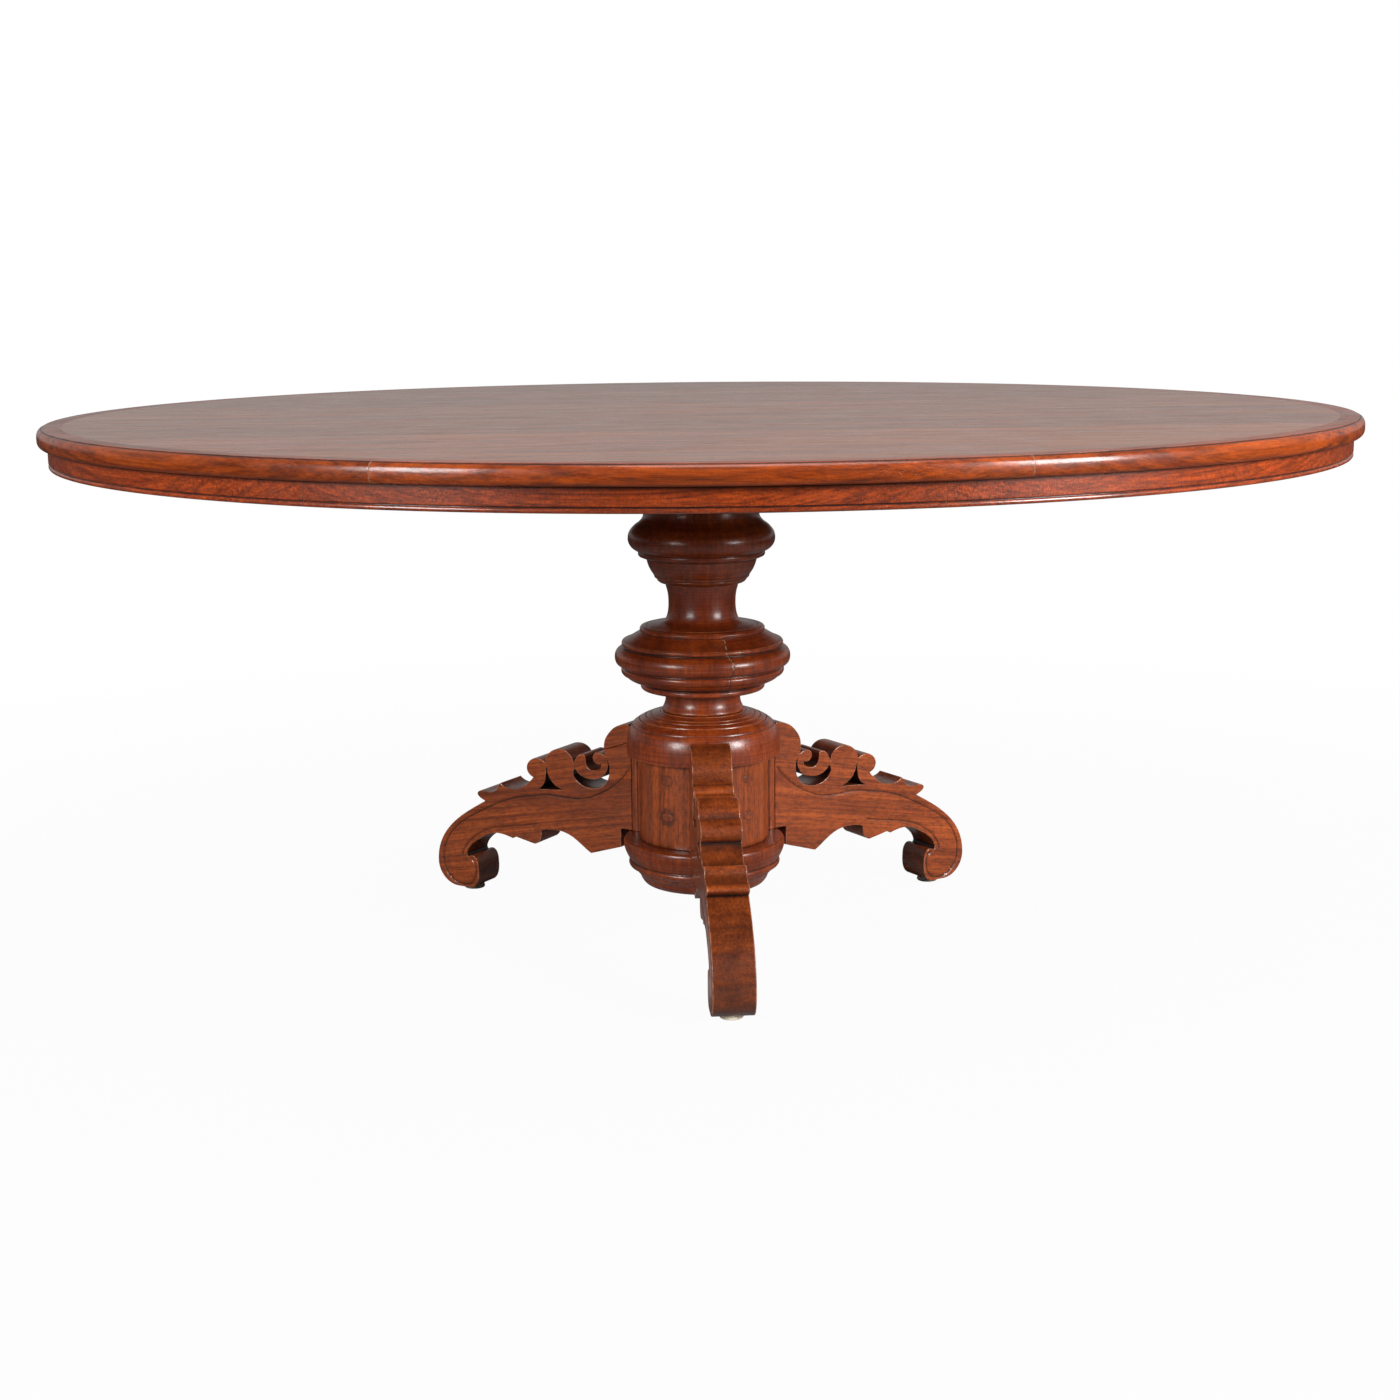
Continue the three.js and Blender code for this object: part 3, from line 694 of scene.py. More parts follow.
SCREW_STEEL = steel("screw_steel")

# ---- the top


BOARD_TONES = (0.0, 0.2, -0.3, -0.05, 0.2, -0.15, 0.1, -0.1)
BOARD_JOINT = 0.05              # from a board's edge to the middle of its joint
BOARD_REACH = 0.1               # the boards' ends go this far past their CAD radius
RING_LEAN = radians(40)    # of the growth rings in the rim and the apron
END_EASING = np.array([(0, 0.22), (0.12, 0.06), (0.35, 0), (0.9, 0), (2.0, 0)])  # (from end, inset)
JOINT_BAND_WIDTH = 14           # the band beside a joint line keeps to this much of the edge


def clean_loop(points, least=1e-3):
    """The loop without steps shorter than the least, running anticlockwise."""
    points = points[lengths(points - np.roll(points, 1, 0)) > least]
    x, y = points.T
    area = (x * np.roll(y, -1) - np.roll(x, -1) * y).sum()
    return points if area > 0 else points[::-1]


def add_boards():
    """Boards along X, ending under the round of the rim."""
    pitch, edge = 2 * BOARD_RADIUS / BOARD_COUNT, BOARD_RADIUS + BOARD_REACH
    for i, tone_and_shading in enumerate(BOARD_TONES):
        low = -BOARD_RADIUS + i * pitch + BOARD_JOINT
        high = low + pitch - 2 * BOARD_JOINT
        start, end = asin(max(low / edge, -1)), asin(min(high / edge, 1))
        arc = np.linspace(start, end, 16 + 24 * (i in (0, BOARD_COUNT - 1)))
        right = columns(edge * np.cos(arc), edge * np.sin(arc))
        outline = clean_loop(np.vstack([right, right[::-1] * [-1, 1]]), 0.05)
        shape = sawn(outline, [], BOARD_LOW_Z, TOP_Z, bevel=0.22, steps=2)
        make_piece(f"top_board_{i + 1}", shape, TOP_WOOD, "top_wood", seed=i + 1, tone_and_shading=tone_and_shading,
                   highlight_and_wear_share=0.1, name=f"board_{i + 1}")


def swept(profile, centre, half_angle):
    """A closed (radius, height) profile swept about the Z axis, its two ends slightly eased."""
    along, eased = END_EASING.T
    ease = np.degrees(along / profile[:, 0].max())
    body = np.linspace(-half_angle + ease[-1] * 1.5, half_angle - ease[-1] * 1.5, 47)
    offsets = np.concatenate([-half_angle + ease, body, (half_angle - ease)[::-1]])
    insets = np.concatenate([eased, 0 * body, eased[::-1]])
    normals = polygon_normals(profile)
    rings = []
    for angle, inset in zip(np.radians(centre + offsets), insets):
        radius, height = (profile - normals * inset).T
        rings.append(columns(radius * cos(angle), radius * sin(angle), height))
    count, last = len(profile), (len(rings) - 1) * len(profile)
    faces = grid_faces(len(rings), count, False, True)
    faces += [list(range(count)), list(range(last, last + count))[::-1]]
    return np.vstack(rings), faces


def segment_grain(centre, slope):
    """Grain along a segment's chord, rising by the slope."""
    def grain(co):
        out, along = rotated(co[:, 0], co[:, 1], -radians(centre))
        return columns(along, *rotated(out, co[:, 2] - slope * along, -RING_LEAN))
    return grain


def joint_line(centre, half_angle, width, strength, band=0.0, level=0.0, spread=1.0):
    """A line beside a segment's two ends, and a band round the edge at the given level."""
    def line(co):
        azimuth = np.degrees(np.arctan2(co[:, 1], co[:, 0]))
        off = np.abs((azimuth - centre + 180) % 360 - 180)
        radius = lengths(co[:, :2])
        outer = radius > TOP_RADIUS - JOINT_BAND_WIDTH
        return np.maximum(strength * bell(np.radians(half_angle - off) * radius, width),
                          band * bell(co[:, 2] - level, spread) * outer)
    return line


RIM_DEPTH = TOP_Z - BOARD_LOW_Z
APRON_DEPTH = BOARD_LOW_Z - GAP - APRON_LOW_Z
SEGMENT_JOINT = 0.06            # from a segment's end to the middle of its joint
RIM_BAND = (0.9, TOP_Z - 1.3, 0.35)             # strength, height and spread of a dark line along the rim's quirk
# Painted shadow under the rim's overhang, along the apron's top: strength, height and spread
APRON_SHADOW_BAND = (0.97, BOARD_LOW_Z, 3.0)
BEARER_TAPER = 40
SCREW_POINT = 6
SCREW_SLOT_DEPTH = 1.1
RIM_RUNS = chain(f"""
    0,0 / 26,0 / 28.6,1 30.9,3.4 31.9,6.6 32,9.5 32,13 31.6,16.4 30.4,19.6 28.6,21.8 26.4,22.8
    / 25.6,22.5 25.2,22.9 / 24.9,23.4 24.7,{RIM_DEPTH} / 0,{RIM_DEPTH} / 0,0
    """)
APRON_RUNS = chain(f"""
    0,0 / 19.4,0 / 21,0.6 21.9,1.8 22,3.2 21.6,4.7 20.5,5.5 / 20.1,6.1 20.4,6.8 / 21.4,7.1 22,7.9
    / 22,{APRON_DEPTH} / 0,{APRON_DEPTH} / 0,0
    """)


def add_edge_segments(kind, runs, width, low_z, first_joint, material, tones_and_shade, slopes, pale, band):
    """Segments round the top, with pale and dark lines at their joints and a dark band all round:
    painted shadow under the rim on the apron, a dark line along the quirk on the rim.
    """
    inner = TOP_RADIUS - width
    profile = profile_from(runs, True, 3.0, 0.35) + [inner, low_z]
    half = SEGMENT_ANGLE / 2 - degrees(SEGMENT_JOINT / inner)
    for i, (tone_and_shading, slope) in enumerate(zip(tones_and_shade, slopes)):
        centre = first_joint + (i + 0.5) * SEGMENT_ANGLE
        make_piece(f"{kind}_{i + 1}", swept(profile, centre, half), material, "rim_wood",
                   grain=segment_grain(centre, slope), seed=i + 11, tone_and_shading=tone_and_shading, highlight_and_wear_share=0.12,
                   filler=joint_line(centre, half, 0.55, pale),
                   stain=joint_line(centre, half, 0.5, 0.6 * (1 - pale), *band))


def add_rim_and_apron():
    # The rim's segments towards its two ends are toned darker: painted shade against the lamps' strong
    # light on them
    add_edge_segments("rim_moulding", RIM_RUNS, RIM_WIDTH, BOARD_LOW_Z, RIM_FIRST_JOINT, RIM_WOOD,
                      (0.0, -0.3, -0.5, 0.05, -0.05, 0.1, -0.75, -0.6),
                      (0.01, -0.02, 0.0, 0.02, 0.0, 0.01, -0.01, 0.0), 0.32, RIM_BAND)
    add_edge_segments("apron_segment", APRON_RUNS, APRON_INSET, APRON_LOW_Z, APRON_FIRST_JOINT,
                      APRON_WOOD, (0.1, 0.05, -0.05, 0.1, 0.0, -0.1, 0.08, -0.12),
                      (0.05, -0.03, 0.02, 0.0, 0.04, -0.02, 0.0, 0.02), 0.08, APRON_SHADOW_BAND)


def add_bearer(name, seed):
    """A bearer across the boards, its ends tapered."""
    low, high = box_mm(name)
    half, depth = (high[1] - low[1]) / 2, high[2] - low[2]
    outline = np.array([(-half + BEARER_TAPER, 0), (half - BEARER_TAPER, 0), (half, depth * 0.6),
                        (half, depth), (-half, depth), (-half, depth * 0.6)])
    place = Matrix(((0, 0, 1, 0), (1, 0, 0, 0), (0, 1, 0, low[2] * MM), (0, 0, 0, 1)))
    make_piece(name, sawn(outline, [], low[0], high[0], bevel=1.5), HIDDEN_WOOD, "hidden_wood",
               place, seed=seed)


def add_underframe():
    """Two bearers, the block that takes the column, and the screws."""
    add_bearer("left_bearer", 31)
    add_bearer("right_bearer", 32)
    low, high = box_mm("top_block")
    outline = np.array([(low[0], low[1]), (high[0], low[1]), (high[0], high[1]), (low[0], high[1])])
    make_piece("top_block", sawn(outline, [], low[2], high[2], bevel=2.0), HIDDEN_WOOD,
               "hidden_wood", seed=33, tone_and_shading=-0.2)
    for name in sorted(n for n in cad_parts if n.startswith("bearer_screw_")):
        add_screw(name)


def add_screw(name):
    """A slotted countersunk screw, pointing up."""
    low, high = box_mm(name)
    length = high[2] - low[2]
    profile = profile_from(chain(f"""
        0,0 / 4.2,0 / 4.6,0.4 4.6,0.9 / 2.4,4.1 / 2.4,{length - SCREW_POINT} / 0,{length}
        """), False, 2.0, 0.2)
    co, faces = turn(profile, False, np.arange(0, 360, 7.5))
    slot = (np.abs(co[:, 1]) < 0.9) & (co[:, 2] < 0.5) & (lengths(co[:, :2]) < 4.4)
    co[slot, 2] += SCREW_SLOT_DEPTH
    x, y, _ = (low + high) / 2
    place = Matrix.Translation(Vector((x, y, low[2])) * MM) @ Matrix.Rotation(y * 0.01, 4, "Z")
    make_piece(name, (co, faces), SCREW_STEEL, "screw_steel", place)


# ---- the column

CAPITAL_TOP = bottom_of("top_block") - GAP
SPIGOT_TOP = top_of("column_capital")
CAPITAL_RUNS = chain(f"""
    {BORE_RADIUS},513.8 / 57,513.8 / 61,514.8 64,517 65.4,519.6 / 65.2,520.8
    / 67.6,521.4 68.9,523.2 69.3,525 / 71.6,528.6 75,534 78,541 79.7,547 80.3,550
    / 86,551.2 90.6,553 / 91.9,555 92,558 91.2,559.6
    / 95.6,561.6 101.4,565.8 105.6,572.4 106.6,579.8 104.4,588.4 98,596.4 90,602.6 85,609 83,618
      82.6,628 84.4,638 89,646 96,651.6 / 99.4,652.4 100,654 / 100,{CAPITAL_TOP}
    / 40,{CAPITAL_TOP} / 40,{SPIGOT_TOP} / {BORE_RADIUS},{SPIGOT_TOP} / {BORE_RADIUS},513.8
    """)
SHAFT_RUNS = chain("""
    0,100 / 28,100 / 28,326.8 / 59.2,326.8
    / 59.6,328.2 58.6,330.8 56.8,334.6 55.2,339.6 54.4,347 54.6,357 / 70,357.2 84.5,357.5
    / 88.2,358.4 90.4,361 90.4,364.4 88.8,366.6
    / 90.2,368.6 95.6,370.2 103,372.2 109,375.4 112.6,379
    / 116.4,380.8 118.7,384.4 118.6,388.4 116.6,391 / 116.4,392.6
    / 121.4,394 125.8,397.6 127.8,403 127.8,409.4 125.4,415.4 120.6,419.4 116.6,420.8
    / 115,421.4 115.2,423 / 117.2,424.2 117.8,427 116.4,429.6
    / 112.4,430.8 106.4,434 99.6,438 94.4,441.2 90.2,443.4 / 90.9,445.4 90.9,448.2 89.2,450.4
    / 84.6,451.6 81.6,452 / 80.8,450.8 80,452.3
    / 71,454 62,455.6 56.4,457.6 53,461.4 50.8,467 49.4,474 48.8,482 49,492 50.2,501 52,508
      53.4,513.4 / 28,513.4 / 28,593.8 / 0,593.8
    """)
CAP_RUNS = chain(f"""
    {BORE_RADIUS},261.5 / 110.6,261.5 / 112.3,262.2 112.8,264 / 112.8,273
    / 112.6,279 111.9,285.5 110.5,292 108.4,298 105.8,302.6 104.6,304.2 / 104.2,304.8
    / 103.6,306.6 101.8,308.6 98,311.4 94.2,313.8 / 93.0,312.3 / 92.3,314.9 / 89,316.6 85.2,318.2
    / 84.0,316.8 / 83.2,319 / 80,320.2 77.2,321 / 76.1,319.6 / 75.3,321.6 / 69,323.4 63.4,324.8
    / 62.4,323.6 / 61.7,325.3 / 56,326.5 / {BORE_RADIUS},326.5 / {BORE_RADIUS},261.5
    """)
DRUM_RUNS = chain(f"""
    {BORE_RADIUS},135.5 / 95,135.5 / 95.5,136 / 95.5,260.7 / 95,261.2 / {BORE_RADIUS},261.2
    / {BORE_RADIUS},135.5
    """)
PLINTH_RUNS = chain(f"""
    0,90 / 103.6,90 / 105.4,91.6 108,93.2 / 110.6,94.6 111.9,97.4 111.2,100.6 109.8,102
    / 109.4,103.4 110.6,104.4
    / 112.2,107 114.6,111.6 116.8,116.6 118.3,121.4 119,126 118.9,130 117.6,133.2 114.5,135.2
    / {BORE_RADIUS},135.2 / {BORE_RADIUS},99.7 / 0,99.7
    """)
DISC_RUNS = chain("""
    0,67 / 84,67 / 88.6,68.8 92,72.6 94.2,76.6 95.4,80 97.6,83 100.6,86.4 / 101,87.4 101,89.7
    / 0,89.7
    """)

# Azimuth at each height of the shake in the knop
CRACK = np.array([(360, -70.6), (372, -74), (386, -75.4), (396, -75.6), (406, -74.4), (415, -74.6),
                  (427, -77.8), (440, -75), (446, -77.5)])
CRACK_HALF, CRACK_DEPTH = 0.7, 0.5
CRACK_LEAST_RADIUS = 60         # the shake doesn't go into the shaft's necks
FAR = 99
COLUMN_PIECES = (               # name, CAD node, runs, whether they close, seed, tone
    ("capital", "column_capital", CAPITAL_RUNS, True, 42, -0.35),
    ("cap", "base_cap", CAP_RUNS, True, 43, 0.1),
    ("plinth", "plinth_moulding", PLINTH_RUNS, False, 44, -0.5),
    ("disc", "bottom_disc", DISC_RUNS, False, 45, -0.6))
PEG_FROM_AXIS = 75


def crack_gap(co):
    """Distance along the surface from the knop's shake, large above and below it."""
    heights, azimuths = CRACK.T
    x, y, z = co.T
    wander = 0.35 * np.sin(z * 1.3) + 0.2 * np.sin(z * 3.1)
    off = np.degrees(np.arctan2(y, x)) - (np.interp(z, heights, azimuths) + wander)
    outside = (z > heights[-1]) | (z < heights[0]) | (np.hypot(x, y) < CRACK_LEAST_RADIUS)
    return np.where(outside, FAR, np.abs(np.radians(off)) * np.hypot(x, y))


def crack_filler(co):
    """Pale filler in patches of the shake's upper part."""
    patches = 0.5 + 0.5 * np.sin(co[:, 2] * 0.9 + 1.0)
    upper = smoothstep(400, 410, co[:, 2])
    return 1.2 * bell(crack_gap(co), 0.4) * upper * smoothstep(0.1, 0.4, patches)


def crack_stain(co):
    return bell(crack_gap(co), 0.9)


def add_shaft():
    """Neck, knop and foot in one, with a filled drying shake down the front of the knop."""
    fine = np.arange(CRACK[:, 1].min() - 2, CRACK[:, 1].max() + 2, 0.2)
    angles = np.union1d(np.arange(-180, 180, 2.0), fine)
    co, faces = turn(profile_from(SHAFT_RUNS, False, 1.4, 0.4), False, angles)
    depth = CRACK_DEPTH * bell(crack_gap(co), CRACK_HALF)
    radius = np.maximum(np.hypot(co[:, 0], co[:, 1]), 1e-6)
    co[:, :2] *= ((radius - depth) / radius)[:, None]
    make_piece("column_shaft", (co, faces), COLUMN_WOOD, "column_wood", grain=upright_grain,
               seed=41, name="shaft", filler=crack_filler, stain=crack_stain)


def peg_ends():
    """Centres of the pegs' ends on the drum, in millimetres."""
    ends = []
    half = sqrt(DRUM_RADIUS ** 2 - PEG_FROM_AXIS ** 2)
    for name in (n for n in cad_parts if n.endswith("_peg")):
        azimuth = radians(LEG_AZIMUTHS[name.split("_")[0]])
        low, high = box_mm(name)
        ends.extend((*rotated(PEG_FROM_AXIS, side * half, azimuth), (low[2] + high[2]) / 2)
                    for side in (-1, 1))
    return np.array(ends)


def peg_stain(points):
    """Dark halo in the drum's wood round each peg, strongest beside the front leg's left face."""
    ends = peg_ends()
    gaps = lengths(points[:, None] - ends)
    x, _, z = ends[gaps.argmin(1)].T
    strength = np.where(x < 0, 0.75, 0.4)
    reach = np.where((x < 0) & (z < 200), 10.5, 7.0)
    wobble = 2.2 * np.sin(points[:, 2] * 0.8) + 1.5 * np.sin(points[:, 2] * 2.1 + points[:, 0])
    return strength * bell(np.maximum(gaps.min(1) - reach + wobble * 0.6, 0), 3.0)


def drum_stain(points):
    """The halos of the pegs, and painted shadow in the corners under the base cap and over the plinth.
    """
    # Painted shadow under the base cap's overhang and in the corner over the plinth
    under_cap = bottom_of("base_cap") - points[:, 2]
    over_plinth = points[:, 2] - top_of("plinth_moulding")
    corner = bell(np.maximum(np.minimum(under_cap, over_plinth), 0), 3.2)
    return np.maximum(peg_stain(points), 0.8 * corner)


def add_column():
    for name, node, runs, closed, seed, tone_and_shading in COLUMN_PIECES:
        shape = turn(profile_from(runs, closed, 1.6, 0.45), closed, np.arange(0, 360, 2.0))
        make_piece(node, shape, COLUMN_WOOD, "column_wood", grain=upright_grain, seed=seed,
                   tone_and_shading=tone_and_shading, name=name)
    shape = turn(profile_from(DRUM_RUNS, True, 2.5, 0.3), True, np.arange(0, 360, 1.25))
    make_piece("base_drum", shape, LEG_WOOD, "column_wood", grain=upright_grain, seed=46,
               tone_and_shading=-0.12, highlight_and_wear_share=0.0, name="drum", stain=drum_stain)
    add_shaft()


# ---- the legs

LEG_INNER_X = 108.2
NOTCH_X = 127.5
FOOT_BOTTOM = top_of("front_foot_pad") + GAP
FOOT_RADIUS = 38.5
FOOT_X = 430                    # distance of the foot's lowest place from the table's axis
CAP_CLEARANCE = 113.0           # radius of the hollow that fits against the base cap
CAP_LOW = 261.2
SHOULDER_HEIGHT = 297

UNDERSIDE = strokes(f"""
    {LEG_INNER_X},136 / {NOTCH_X},136 / {NOTCH_X},107.5 / 181.5,91 / 200,101 214,119 243,119.5
    / 262,119.5 271,115.5 / 270,97 284,93 / 300,96 320,100.5 / 325,97 / 345,103 360,104 374,96
    / 392,87 410,76 412.5,62 / 412.5,56.5 408,58.5 / 399,63 391,56 391,40
    / 389.5,22 394,8 409,{FOOT_BOTTOM} / {FOOT_X},{FOOT_BOTTOM}
    """)
FOOT_ARC = [(FOOT_X + FOOT_RADIUS * sin(a), FOOT_BOTTOM + FOOT_RADIUS * (1 - cos(a)))
            for a in np.linspace(0, pi / 2, 31)[1:]]
CREST = strokes("""
    468.5,100 415,128 375,151 / 391,157 389,163 / 386,168 376,166.5 / 360,164 352,173
    / 350,180 345,183 / 336,174 318,176 / 300,179 284,198.5 / 300,204 299,222 283,228
    / 271,231 262,224.5 / 259,240 246,248 232,247.5 / 219,247 210,238 209.5,227
    / 206,240 198,246 190,243 / 188,240 188,235 / 188,226 183,220.5 175,221
    / 166,221.5 160,225 160.5,231.5 / 168,228 176,233 175.5,241 / 174,249 165,252 153,245
    """)
SHOULDER_SIDE = strokes("156.5,254 157,268 148.5,278")
SHOULDER_TOP = strokes("141,289 130,296.5 113,297")
CRESCENT = strokes("""
    150.4,238 / 148.2,234 148.6,229 / 151,215 163,206.5 180,206.5 / 194,206.5 203,212 207.5,220
    / 212,215 210,209 / 204,199 195,193 178,192.5 / 160,192 144,205 146.4,229 / 147,235 150.4,238
    """)
TRIANGLE = strokes("""
    259.2,216 / 256.5,200 249,189 230,184.2 / 253,183.5 276,180.5 / 262,187 259.6,198 260.6,216
    """)
INCISED = strokes("""
    110.6,231 124,214.5 142,199 164,186 188,176.5 212,173 235,173.4 258,174 287,169 317,163
      352,150 388,132 419,114 441,94 453.5,73 457.6,55 455.5,36 447,22.5 434,13.5 419,11.3
      405.5,14.5 398,25 396,38 398.6,50 406,55
    / 278,126 305,120.6 336,115.5 365,108.5 388,97.5 409,81 420,64.5 421.5,55
    """)
# The glue line of the left leg's pieced-on shoulder: where it starts, its slope and where it has ended
SEAM_X, SEAM_Z, SEAM_SLOPE, SEAM_END_X = 90, 277, -27.5 / 80, 160
SEAM_HALF = 0.1
GRAIN_FALL = 0.2
LEG_GRID, LEG_STRIPS = 5.0, 8   # spacing of points on a leg's face, and strips across its edge
LOBE_REACH = 8                  # outline points, 2 mm apart, that a hollow is measured over, each way


def glue_line_height(x):
    return SEAM_Z + SEAM_SLOPE * (x - SEAM_X)


def leg_outlines(pieced):
    """The leg's outline and, where its shoulder is pieced on, that tip's outline as well."""
    body = np.vstack([outline_from(UNDERSIDE), FOOT_ARC])
    body = np.vstack([body, outline_from([[body[-1]], *CREST])[1:]])
    side = outline_from([[body[-1]], *SHOULDER_SIDE], 1.5)[1:]
    top = outline_from([[side[-1]], *SHOULDER_TOP], 1.5)[1:]
    inner = [(LEG_INNER_X, z)
             for z in (SHOULDER_HEIGHT, 285, 275, 268, CAP_LOW + 0.3, CAP_LOW, 240, 200, 160)]
    if not pieced:
        return clean_loop(np.vstack([body, side, top, inner])), None
    under = side[:, 1] < glue_line_height(side[:, 0])
    cut_x = side[under][-1][0]
    seam = np.array([(x, glue_line_height(x)) for x in np.linspace(cut_x, LEG_INNER_X, 12)])
    leg = np.vstack([body, side[under], seam - [0, SEAM_HALF], [p for p in inner if p[1] < 268]])
    tip = np.vstack([seam[::-1] + [0, SEAM_HALF], side[~under], top,
                     [p for p in inner if p[1] > glue_line_height(LEG_INNER_X) + 1]])
    return clean_loop(leg), clean_loop(tip)


def fitted_to_cap(co):
    """Pushes what lies beside the base cap out to the hollow that fits against it."""
    x, height, across = co.T
    reach = np.sqrt(np.maximum(CAP_CLEARANCE ** 2 - across ** 2, 0))
    beside = height > CAP_LOW + 0.1
    return columns(np.where(beside, np.maximum(x, reach), x), height, across)


def leg_grain(co):
    """Grain along the leg, falling a little towards the foot."""
    return columns(*rotated(co[:, 0], co[:, 1], GRAIN_FALL), co[:, 2])


def sunk_below(points, outline):
    """How far the outline lies below its own run of 32 mm, in millimetres: below 0 on lobes."""
    reach = range(-LOBE_REACH, LOBE_REACH + 1)
    weights = [LOBE_REACH + 1 - abs(k) for k in reach]
    run = sum(w * np.roll(outline, k, 0) for w, k in zip(weights, reach)) / sum(weights)
    sunk = ((run - outline) * polygon_normals(outline)).sum(1)
    return sunk[lengths(points[:, None] - outline).argmin(1)]


def leg_stain(outline, grooves, pieced):
    """Stain taken up by the plank's sawn edges, darker towards the foot, painted shade in the outline's
    hollows, and darkening in the incised lines and along a pieced shoulder's glue line.
    """
    def stain(co):
        depth = np.abs(co[:, 2])
        stain_and_shade_values = np.zeros(len(co))
        edge = depth < LEG_HALF - 0.1
        share = 0.15 + 0.4 * smoothstep(350, 440, co[edge, 0])
        # Painted shade in the outline's hollows, darker the deeper they are
        sunk = sunk_below(co[edge, :2], outline)
        share = np.maximum(share, 0.5 * smoothstep(0.0, 0.8, sunk) + 0.5 * smoothstep(0.9, 2.0, sunk))
        stain_and_shade_values[edge] = share * smoothstep(LEG_HALF - 0.2, LEG_HALF - 2.0, depth[edge])
        face = depth > LEG_HALF - GROOVE_DEPTH - 0.2
        cut = 1.5 * groove_depth(co[face, :2], grooves) / GROOVE_DEPTH
        stain_and_shade_values[face] = np.maximum(stain_and_shade_values[face], np.minimum(cut, 1))
        if pieced:
            gap = np.abs(co[:, 1] - glue_line_height(co[:, 0]))
            stain_and_shade_values = np.maximum(stain_and_shade_values, 0.8 * bell(gap, 0.9) * (co[:, 0] < SEAM_END_X))
        return stain_and_shade_values
    return stain


def leg_tone_and_lobe_light(outline, base):
    """The sawn edge is lighter on its lobes than the rest of the leg: painted light on the lobes."""
    def tone_and_shading(co):
        edge = np.abs(co[:, 2]) < LEG_HALF - 0.1
        values = np.full(len(co), base)
        # Painted light on the lobes
        values[edge] += 0.9 * smoothstep(0.2, 2.0, -sunk_below(co[edge, :2], outline))
        return values
    return tone_and_shading


def leg_highlight_and_wear(pieced):
    """Wear and painted highlight of a leg's arrises: none beside the stile, nor along the glue line of
    a pieced shoulder.
    """
    def share(co):
        beside = 0.6 * smoothstep(LEG_INNER_X + 1, LEG_INNER_X + 4, co[:, 0])
        if pieced:
            gap = np.abs(co[:, 1] - glue_line_height(co[:, 0]))
            beside *= np.where(co[:, 0] < SEAM_END_X, smoothstep(1.0, 3.5, gap), 1.0)
        return beside
    return share


def leg_place(azimuth):
    """From (distance from the axis, height, across) to the row frame."""
    upright = Matrix(((1, 0, 0, 0), (0, 0, -1, 0), (0, 1, 0, 0), (0, 0, 0, 1)))
    return turned(azimuth) @ upright


def add_leg(side, azimuth, seed, tone_and_shading):
    """A leg sawn from a plank, with its pierced crest, and the tip glued on where it has one."""
    pieced = side == "left"
    outline, tip = leg_outlines(pieced)
    holes = [clean_loop(outline_from(path))[::-1] for path in (CRESCENT, TRIANGLE)]
    grooves = [np.array(smooth_run(line, 3.0)) for line in INCISED]
    co, faces = sawn(outline, holes, -LEG_HALF, LEG_HALF, 1.3, LEG_GRID, grooves, LEG_STRIPS)
    make_piece(f"{side}_leg", (fitted_to_cap(co), faces), LEG_WOOD, "leg_wood", leg_place(azimuth),
               leg_grain, seed, leg_tone_and_lobe_light(outline, tone_and_shading), leg_highlight_and_wear(pieced),
               stain=leg_stain(outline, grooves, pieced))
    if pieced:
        co, faces = sawn(tip, [], -LEG_HALF, LEG_HALF, 1.0, LEG_GRID, strips=LEG_STRIPS)
        make_piece(f"{side}_leg_shoulder_tip", (fitted_to_cap(co), faces), LEG_WOOD, "leg_wood",
                   leg_place(azimuth), leg_grain, seed + 5, tone_and_shading + 0.08, leg_highlight_and_wear(pieced),
                   stain=leg_stain(tip, (), pieced))


STILE_FACE = 108.0              # distance of the stile's outer face from the table's axis
STILE_FIT = 0.15                # between the drum and the stile's hollow
STILE_REED = ((2.0, 0.0), (4.6, 0.0), (5.6, 1.7), (6.8, 1.7), (7.8, 0.0))   # (from the drum, cut)


def add_stile(side, azimuth, seed):
    """The upright between a leg and the drum, with a reed down each visible side."""
    low, high = box_mm(f"{side}_leg_stile")
    hug = DRUM_RADIUS + STILE_FIT
    arc = [(sqrt(hug ** 2 - y * y), y) for y in np.linspace(LEG_HALF, -LEG_HALF, 25)]
    steps = [(arc[0][0] + x, cut) for x, cut in STILE_REED]
    steps += [(STILE_FACE - 1.6, 0.0), (STILE_FACE, 1.5)]
    right = [(x, -LEG_HALF + cut) for x, cut in steps]
    left = [(x, LEG_HALF - cut) for x, cut in steps[::-1]]
    outline = clean_loop(np.array([*right, *left, *arc]))
    make_piece(f"{side}_leg_stile",
               sawn(outline, [], low[2], high[2], bevel=0.4, strips=12, steps=2), LEG_WOOD,
               "leg_wood", turned(azimuth), upright_grain, seed, -0.12, 0.2, f"{side}_stile")


PEG_RADII = (0, 1.5, 3, 4.5, 5.5, 6.0)
PEG_PROUD = 0.25                # how far a peg's ends stand out of the drum
PEG_EASE_RADIUS = 5.8           # beyond this a peg's end is eased back to the drum


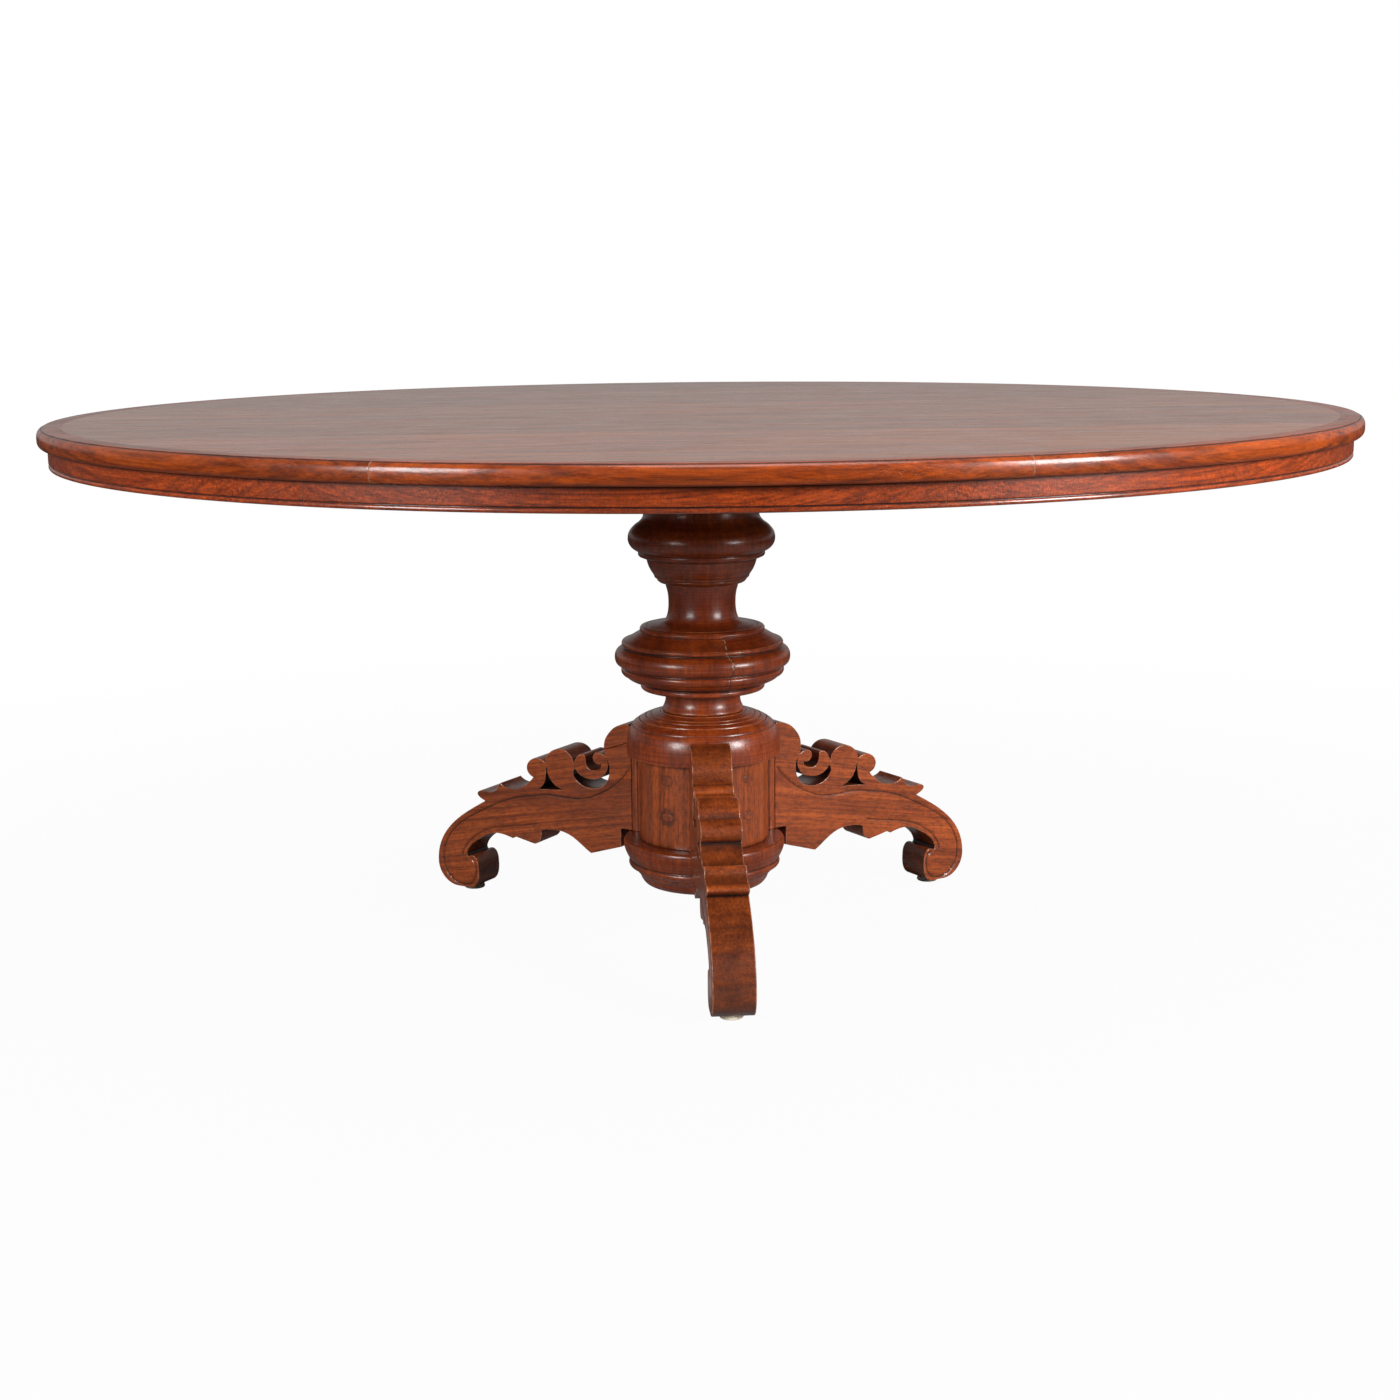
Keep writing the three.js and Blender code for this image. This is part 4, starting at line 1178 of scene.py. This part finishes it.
def add_peg(name, azimuth):
    """A peg across the leg's tenon, cut off close to the drum."""
    low, high = box_mm(name)
    height = (low[2] + high[2]) / 2
    angles = np.radians(np.arange(0, 360, 10))
    rows = []
    for end, radii in ((-1, PEG_RADII), (1, PEG_RADII[::-1])):
        for r in radii:
            x = PEG_FROM_AXIS + r * np.cos(angles)
            reach = np.sqrt((DRUM_RADIUS + PEG_PROUD) ** 2 - x ** 2)
            reach -= PEG_PROUD * (r > PEG_EASE_RADIUS)
            rows.append(columns(x, end * reach, height + r * np.sin(angles)))
    faces = grid_faces(len(rows), len(angles), False, True)
    make_piece(name, (np.vstack(rows), faces), PEG_WOOD, "peg_wood", turned(azimuth), seed=71)


def add_pad(side, tone_and_shading):
    """A felt disc under the foot, its edge pressed a little."""
    low, high = box_mm(f"{side}_foot_pad")
    middle, radius, top = (low + high) / 2, (high[0] - low[0]) / 2, high[2] - low[2]
    runs = chain(f"0,0 / {radius - 1},0 / {radius},1.2 {radius},2.6 {radius - 1},{top} / 0,{top}")
    shape = turn(profile_from(runs, False, 2.0, 0.4), False, np.arange(0, 360, 5))
    make_piece(f"{side}_foot_pad", shape, PAD_FELT, "pad_felt",
               Matrix.Translation(Vector((middle[0], middle[1], low[2])) * MM), seed=81, tone_and_shading=tone_and_shading,
               name=f"{side}_pad")


# Side, tone of the leg, tone of its pad (high on the front pad as painted light in the foot's shade,
# low on the side pads)
LEGS = (("front", -0.75, 0.9), ("right", 0.06, -0.7), ("left", -0.04, -0.7))


def add_legs():
    for k, (side, tone_and_shading, pad_tone_and_light) in enumerate(LEGS):
        azimuth = LEG_AZIMUTHS[side]
        add_leg(side, azimuth, 51 + k, tone_and_shading)
        add_stile(side, azimuth, 61 + k)
        add_peg(f"{side}_leg_lower_peg", azimuth)
        add_peg(f"{side}_leg_upper_peg", azimuth)
        add_pad(side, pad_tone_and_light)


# ---- studio

VIEW_YAW = radians(4.49)   # the table stands turned by this much from the camera
VIEW_PITCH = radians(11.076)
VIEW_ROLL = radians(-0.543)
EYE = Vector((-0.2439, -3.0518, 0.9384))
LENS, SENSOR = 54.73, 36
LAMP_TARGET = Vector((0, 0, 0.45))
# Azimuth from the camera's side and elevation in degrees, distance, width and height in metres, watts
LAMPS = {"left_softbox": (-40, 18, 3.4, 0.9, 1.2, 96), "right_softbox": (52, 18, 3.4, 0.9, 1.2, 160),
         "over_softbox": (20, 72, 3.0, 1.6, 1.6, 46)}
WHITE, BLACK = (1, 1, 1, 1), (0, 0, 0, 1)
STUDIO_LEVELS = (0.12, 0.43)    # light from the camera's side of the studio, and from behind the table
FLOOR_RADIUS = 40


def heading(yaw, pitch):
    """The direction of a look that is turned from +Y by the yaw and down by the pitch."""
    return Vector((sin(yaw) * cos(pitch), cos(yaw) * cos(pitch), -sin(pitch)))


def stand(thing, place, forward, roll=0.0):
    """Puts a camera or lamp at a place, looking forward."""
    thing.location = place
    thing.rotation_mode = "QUATERNION"
    thing.rotation_quaternion = forward.to_track_quat("-Z", "Y") @ Quaternion((0, 0, 1), roll)


def add_camera():
    data = bpy.data.cameras.new("camera")
    data.lens, data.sensor_width = LENS, SENSOR
    camera = add_object("camera", data)
    stand(camera, EYE, heading(VIEW_YAW, VIEW_PITCH), VIEW_ROLL)
    bpy.context.scene.camera = camera


def add_lamps():
    """Rectangular lamps that look at the column."""
    for name, (azimuth, elevation, distance, width, height, power) in LAMPS.items():
        data = bpy.data.lights.new(name, "AREA")
        data.shape = "RECTANGLE"
        data.size, data.size_y, data.energy = width, height, power
        forward = heading(VIEW_YAW - radians(azimuth), radians(elevation))
        stand(add_object(name, data), LAMP_TARGET - forward * distance, forward)


def add_world():
    """A white studio: bright behind the table, dimmer round the camera, plain white to look at."""
    world = bpy.context.scene.world = bpy.data.worlds.new("studio")
    s = Nodes(world)
    way = s.add("TexCoord", {}, "Generated")
    ahead = (sin(VIEW_YAW), cos(VIEW_YAW), 0.1)
    facing = s.add("VectorMath", {0: way, 1: ahead}, "Value", operation="DOT_PRODUCT")
    seen = s.add("LightPath", {}, "Is Camera Ray")
    strength = s.add("Mix", {0: seen, 2: s.between(facing, -0.2, 0.8, *STUDIO_LEVELS), 3: 1.0})
    s.put(s.tree.nodes["Background"], {"Color": WHITE, "Strength": strength})


def add_floor():
    """A plain pale floor that runs off into white."""
    s = Surface("floor_paper")
    where = s.add("TexCoord", {}, "Object")
    distance = s.add("VectorMath", {0: where}, "Value", operation="LENGTH")
    grey = s.between(distance, 0.7, 1.6, 0.3, 0.05)
    s.put(s.bsdf, {"Base Color": s.mix(grey, BLACK, WHITE), "Roughness": 0.9})
    seen = s.add("LightPath", {}, "Is Camera Ray")
    whitened = s.times(s.between(distance, 0.5, 2.6, 0.96, 1.0), seen)
    white = s.add("Emission", {"Color": WHITE, "Strength": 1.0})
    blend = s.add("MixShader", {0: whitened, 1: s.bsdf.outputs[0], 2: white})
    s.put(s.tree.nodes["Material Output"], {"Surface": blend})
    mesh = bpy.data.meshes.new("floor")
    work = bmesh.new()
    bmesh.ops.create_circle(work, cap_ends=True, segments=96, radius=FLOOR_RADIUS)
    work.to_mesh(mesh)
    work.free()
    mesh.materials.append(s.owner)
    floor = add_object("floor", mesh)
    floor.location.z = cad_low.z


def add_studio():
    add_camera()
    add_lamps()
    add_world()
    add_floor()
    scene = bpy.context.scene
    scene.view_settings.view_transform = "Standard"
    scene.cycles.use_denoising = True


add_boards()
add_rim_and_apron()
add_underframe()
add_column()
add_legs()
add_studio()
